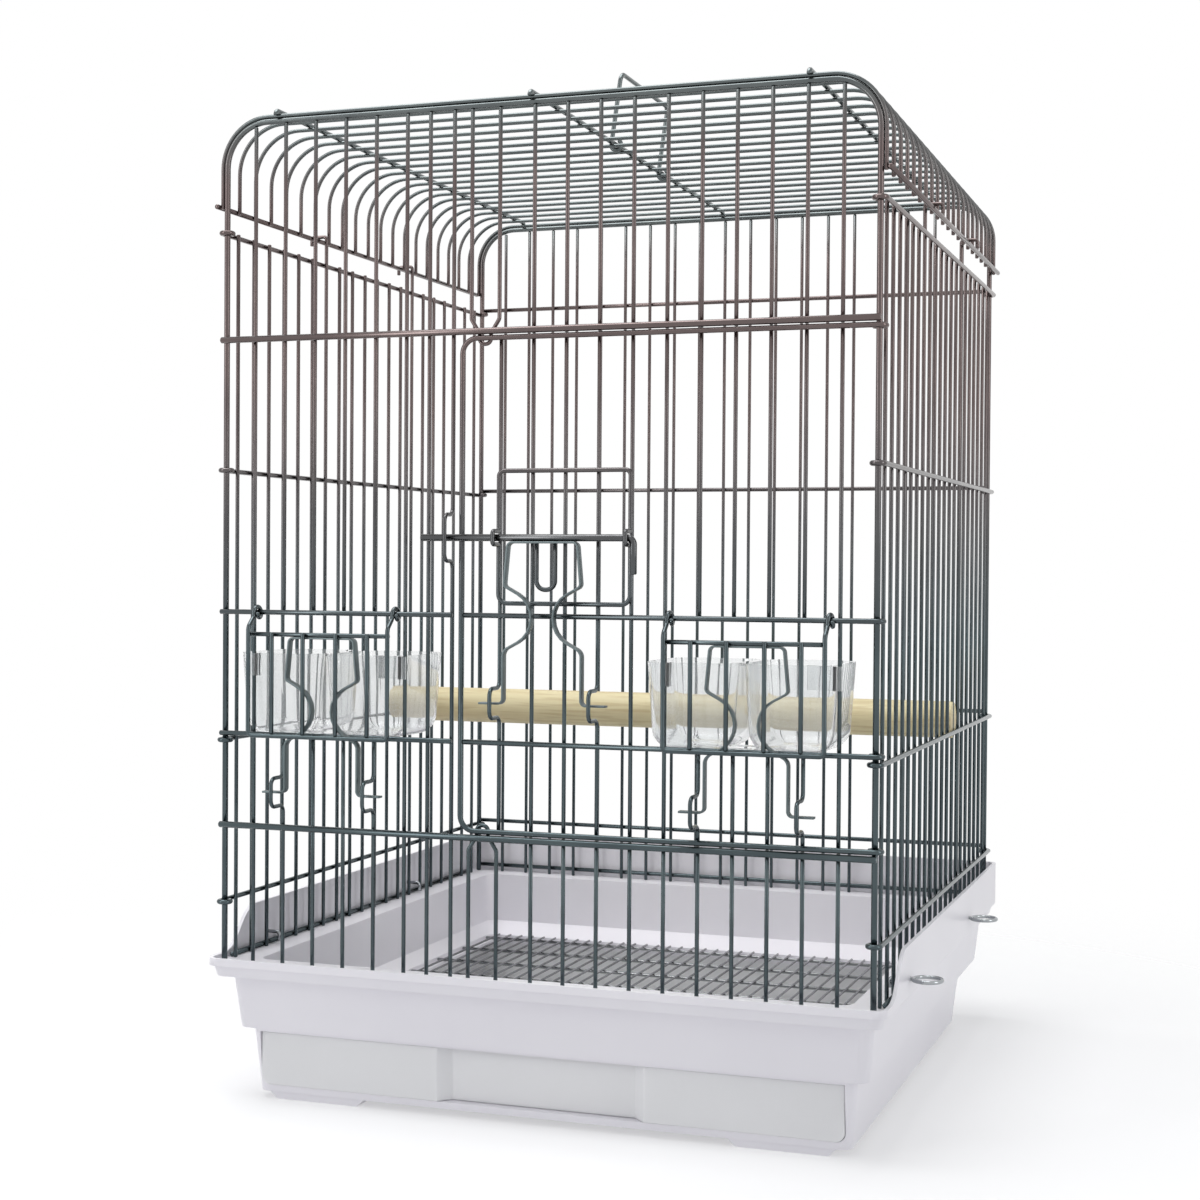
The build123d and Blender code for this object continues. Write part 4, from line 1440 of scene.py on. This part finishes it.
@dataclass
class FloorGrid(Assembly):
    """Loose grid in the base: thin wires from front to back on cross bars."""

    body: str = "floor_grid"
    wide: float = 195.0
    back: float = 181.0
    seat_z: float = 44.0
    wire: float = 1.8
    bar: float = 2.4
    pitch: float = 10.3
    bar_count: int = 8
    corner: float = 8.0

    def build(self) -> None:
        """Make the bars and the wires."""
        s = self.sizes
        wide = self.wide - s.slide_play
        back = self.back - s.slide_play
        bar_z = self.seat_z + self.bar / 2 + s.weld
        wire_z = bar_z + self.bar / 2 + s.weld + self.wire / 2
        ys = np.linspace(-wide + self.corner, back - self.corner, self.bar_count)
        count = int((wide - self.corner) / self.pitch)
        xs = self.pitch * np.arange(-count, count + 1)
        bars = [rod((-wide, y, bar_z), (wide, y, bar_z), self.bar) for y in ys]
        wires = [rod((x, -wide, wire_z), (x, back, wire_z), self.wire) for x in xs]
        self.put("floor_grid_bars", bars, Slot.GRID, self.finishes.grid)
        self.put("floor_grid_wires", wires, Slot.GRID, self.finishes.grid)


@dataclass
class BaseClip(Assembly):
    """Turn hook through the base's wall: a ring outside and a hook over the foot rail inside."""

    side: Side = Side.LEFT
    place: Place = Place.FRONT
    wire: float = 2.6
    height: float = 103.6
    ring_across: float = 18.5
    hook: float = 6.5
    rim_half: float = 232.5
    bend: float = 0.9

    def build(self) -> None:
        """Make the shank and the ring."""
        s = self.sizes
        sign = self.side.value
        y = self.place.value * s.side_pitch
        z = self.height
        inner = sign * (s.side_wire_x - s.upright / 2 - s.slide_play - self.wire)
        outer = sign * (self.rim_half + s.slide_play + self.wire / 2)
        line = [(inner, y, z - self.hook), (inner, y, z), (outer, y, z)]
        shank = bent_rod(line, self.wire * self.bend, self.wire)
        eye = ring((outer + sign * self.ring_across / 2, y, z), self.ring_across / 2, self.wire)
        name = f"{self.place.name.lower()}_{self.side.name.lower()}"
        self.body = f"clip_{name}"
        self.put(f"base_clip_{name}", [shank, eye], Slot.WIRE, self.finishes.clip)


@dataclass
class Mouldings:
    """Solids whose shape is right as it stands: base, tray and perch."""

    finishes: Finishes
    edge: float = 0.9
    edge_steps: int = 2
    edge_angle: float = 40.0
    flat_angle: float = 0.5
    join: float = 0.01

    def dress(self) -> None:
        """Give each solid its finish and soft edges."""
        chosen = {
            "base_shell": self.finishes.white,
            "drawer_tray": self.finishes.frosted,
            "perch": self.finishes.wood,
        }
        for name, finish in chosen.items():
            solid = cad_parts[name]
            solid.data.materials.clear()
            solid.data.materials.append(finish)
            self.soften(solid)
            log.info("%s is dressed with %s", name, finish.name)

    def soften(self, solid: bpy.types.Object) -> None:
        """Join the solid's loose faces, merge its flat ones and round its sharp edges.

        Args:
            solid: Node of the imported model.
        """
        weld = solid.modifiers.new("joined", "WELD")
        weld.merge_threshold = self.join * MM
        flat = solid.modifiers.new("flat_faces", "DECIMATE")
        flat.decimate_type = "DISSOLVE"
        flat.angle_limit = math.radians(self.flat_angle)
        bevel = solid.modifiers.new("soft_edges", "BEVEL")
        bevel.width = self.edge * MM
        bevel.segments = self.edge_steps
        bevel.limit_method = "ANGLE"
        bevel.angle_limit = math.radians(self.edge_angle)
        bevel.harden_normals = True


# Studio

def stand(thing: bpy.types.Object, right: np.ndarray, back: np.ndarray, place: Point) -> None:
    """Add a lamp or camera to the scene, placed and turned by two of its unit axes.

    Args:
        thing: The lamp or camera.
        right: Direction of its own +X.
        back: Direction of its own +Z, away from what it faces.
        place: Where it stands, in metres.
    """
    turned = np.eye(4)
    turned[:3] = np.column_stack([right, np.cross(back, right), back, place])
    bpy.context.scene.collection.objects.link(thing)
    thing.matrix_world = Matrix(turned.tolist())


@dataclass(frozen=True)
class Lamp:
    """Soft oblong lamp: its place, width and height in metres, and the brightness of its face.

    White paper in plain light has a brightness of 1.
    """

    name: str
    place: Point
    size: Pair
    level: float
    target: Point = (0.0, 0.0, 0.4)
    steep: float = 0.95

    def build(self) -> None:
        """Set up the lamp. Its power is pi times its brightness times its area."""
        data = bpy.data.lights.new(self.name, "AREA")
        data.shape = "RECTANGLE"
        data.size, data.size_y = self.size
        data.energy = math.pi * self.level * self.size[0] * self.size[1]
        back = unit(np.subtract(self.place, self.target))
        above = (0.0, 1.0, 0.0) if abs(back[2]) > self.steep else (0.0, 0.0, 1.0)
        right = unit(np.cross(above, back))
        stand(bpy.data.objects.new(self.name, data), right, back, self.place)


@dataclass(frozen=True)
class Studio:
    """Floor, white surroundings, soft lamps and the camera."""

    floor_reach: float = 1.6
    floor_hub: float = 0.02
    floor_rings: int = 24
    floor_spokes: int = 96
    floor_rough: float = 0.85
    floor_tone: Colour = (0.93, 0.93, 0.94)
    fade_start: float = 0.3
    fade_end: float = 0.9
    floor_clear: float = 0.4
    sky: float = 0.45
    sky_tone: Colour = (0.95, 0.97, 1.0)
    lamps: tuple[Lamp, ...] = (
        Lamp("overhead", (-0.4, -0.2, 2.3), (1.8, 1.6), 4.7),
        Lamp("left_strip", (-1.4, -1.7, 0.8), (0.5, 1.8), 3.8),
        Lamp("right_strip", (1.9, -0.6, 0.8), (0.5, 1.8), 3.0),
    )
    camera_place: Point = (0.4633, -1.4171, 0.3628)
    yaw: float = 19.28
    pitch: float = -0.86
    roll: float = 0.40
    lens: float = 59.91
    sensor: float = 36.0

    def build(self) -> None:
        """Set the stage round the cage."""
        bpy.context.scene.view_settings.view_transform = "Standard"
        self.surroundings()
        self.floor()
        for lamp in self.lamps:
            lamp.build()
        self.camera()

    def surroundings(self) -> None:
        """White to the camera, to reflections and through clear pieces; a softer level as light."""
        world = Tree(bpy.data.worlds.new("surroundings"))
        bpy.context.scene.world = world.owner
        white = world.tree.nodes["Background"]
        world.fill(white, Color=(1.0, 1.0, 1.0, 1.0), Strength=1.0)
        light = world.add("ShaderNodeBackground", Color=(*self.sky_tone, 1.0), Strength=self.sky)
        path = world.add("ShaderNodeLightPath")
        seen = path.outputs["Is Camera Ray"]
        for kind in ("Is Glossy Ray", "Is Transmission Ray"):
            either = world.add("ShaderNodeMath")
            either.operation = "MAXIMUM"
            world.put(either.inputs[0], seen)
            world.put(either.inputs[1], path.outputs[kind])
            seen = either.outputs[0]
        world.mix_shaders(seen, light, white, "World Output")

    def floor(self) -> None:
        """Round pale floor (r cos u, r sin u, 0) that fades into the white surroundings."""
        turns = np.linspace(0, 2 * np.pi, self.floor_spokes, endpoint=False)[None, :]
        reach = np.linspace(self.floor_hub, self.floor_reach, self.floor_rings)[:, None]
        points = np.stack([reach * np.cos(turns), reach * np.sin(turns), 0 * reach * turns], axis=-1)
        quads = turned_over(lattice(reach.size, turns.size))
        mesh = bpy.data.meshes.new("floor")
        mesh.from_pydata(points.reshape(-1, 3).tolist(), [], [*quads.tolist(), list(range(turns.size))])
        plate = bpy.data.objects.new("floor", mesh)
        bpy.context.scene.collection.objects.link(plate)
        nodes = Nodes("floor")
        nodes.dress(Base_Color=(*self.floor_tone, 1.0), Roughness=self.floor_rough)
        away = nodes.add("ShaderNodeVectorMath", Vector=nodes.place)
        away.operation = "LENGTH"
        fade = nodes.add("ShaderNodeMapRange", Value=away.outputs["Value"])
        fade.interpolation_type = "SMOOTHSTEP"
        nodes.fill(fade, From_Min=self.fade_start, From_Max=self.fade_end, To_Min=self.floor_clear)
        gone = nodes.add("ShaderNodeBsdfTransparent")
        nodes.mix_shaders(fade.outputs[0], nodes.shader, gone, "Material Output")
        mesh.materials.append(nodes.owner)

    def camera(self) -> None:
        """Camera at the photograph's angle: turned left, tilted a little down and rolled a little."""
        yaw, pitch, roll = np.radians([self.yaw, self.pitch, self.roll])
        flat = math.cos(pitch)
        ahead = np.array([-math.sin(yaw) * flat, math.cos(yaw) * flat, math.sin(pitch)])
        level = np.array([math.cos(yaw), math.sin(yaw), 0.0])
        right = math.cos(roll) * level + math.sin(roll) * np.cross(level, ahead)
        data = bpy.data.cameras.new("camera")
        data.lens = self.lens
        data.sensor_width = self.sensor
        eye = bpy.data.objects.new("camera", data)
        stand(eye, right, -ahead, self.camera_place)
        bpy.context.scene.camera = eye


def main() -> None:
    """Build and dress the cage from its panels inwards, then set the stage."""
    logging.basicConfig(level=logging.INFO, format="%(message)s")
    shared = (CageSizes(), Finishes())
    kinds = (FrontPanel, BackPanel, Roof, CarryHandle, MainDoor, Latch, FloorGrid)
    assemblies: list[Assembly] = [kind(*shared) for kind in kinds]
    for side in Side:
        assemblies += [kind(*shared, side=side) for kind in (SidePanel, FeederDoor, FeedCup)]
        assemblies += [BaseClip(*shared, side=side, place=place) for place in Place]
    for assembly in assemblies:
        assembly.build()
    Mouldings(shared[1]).dress()
    Studio().build()


if __name__ == "__main__":
    main()
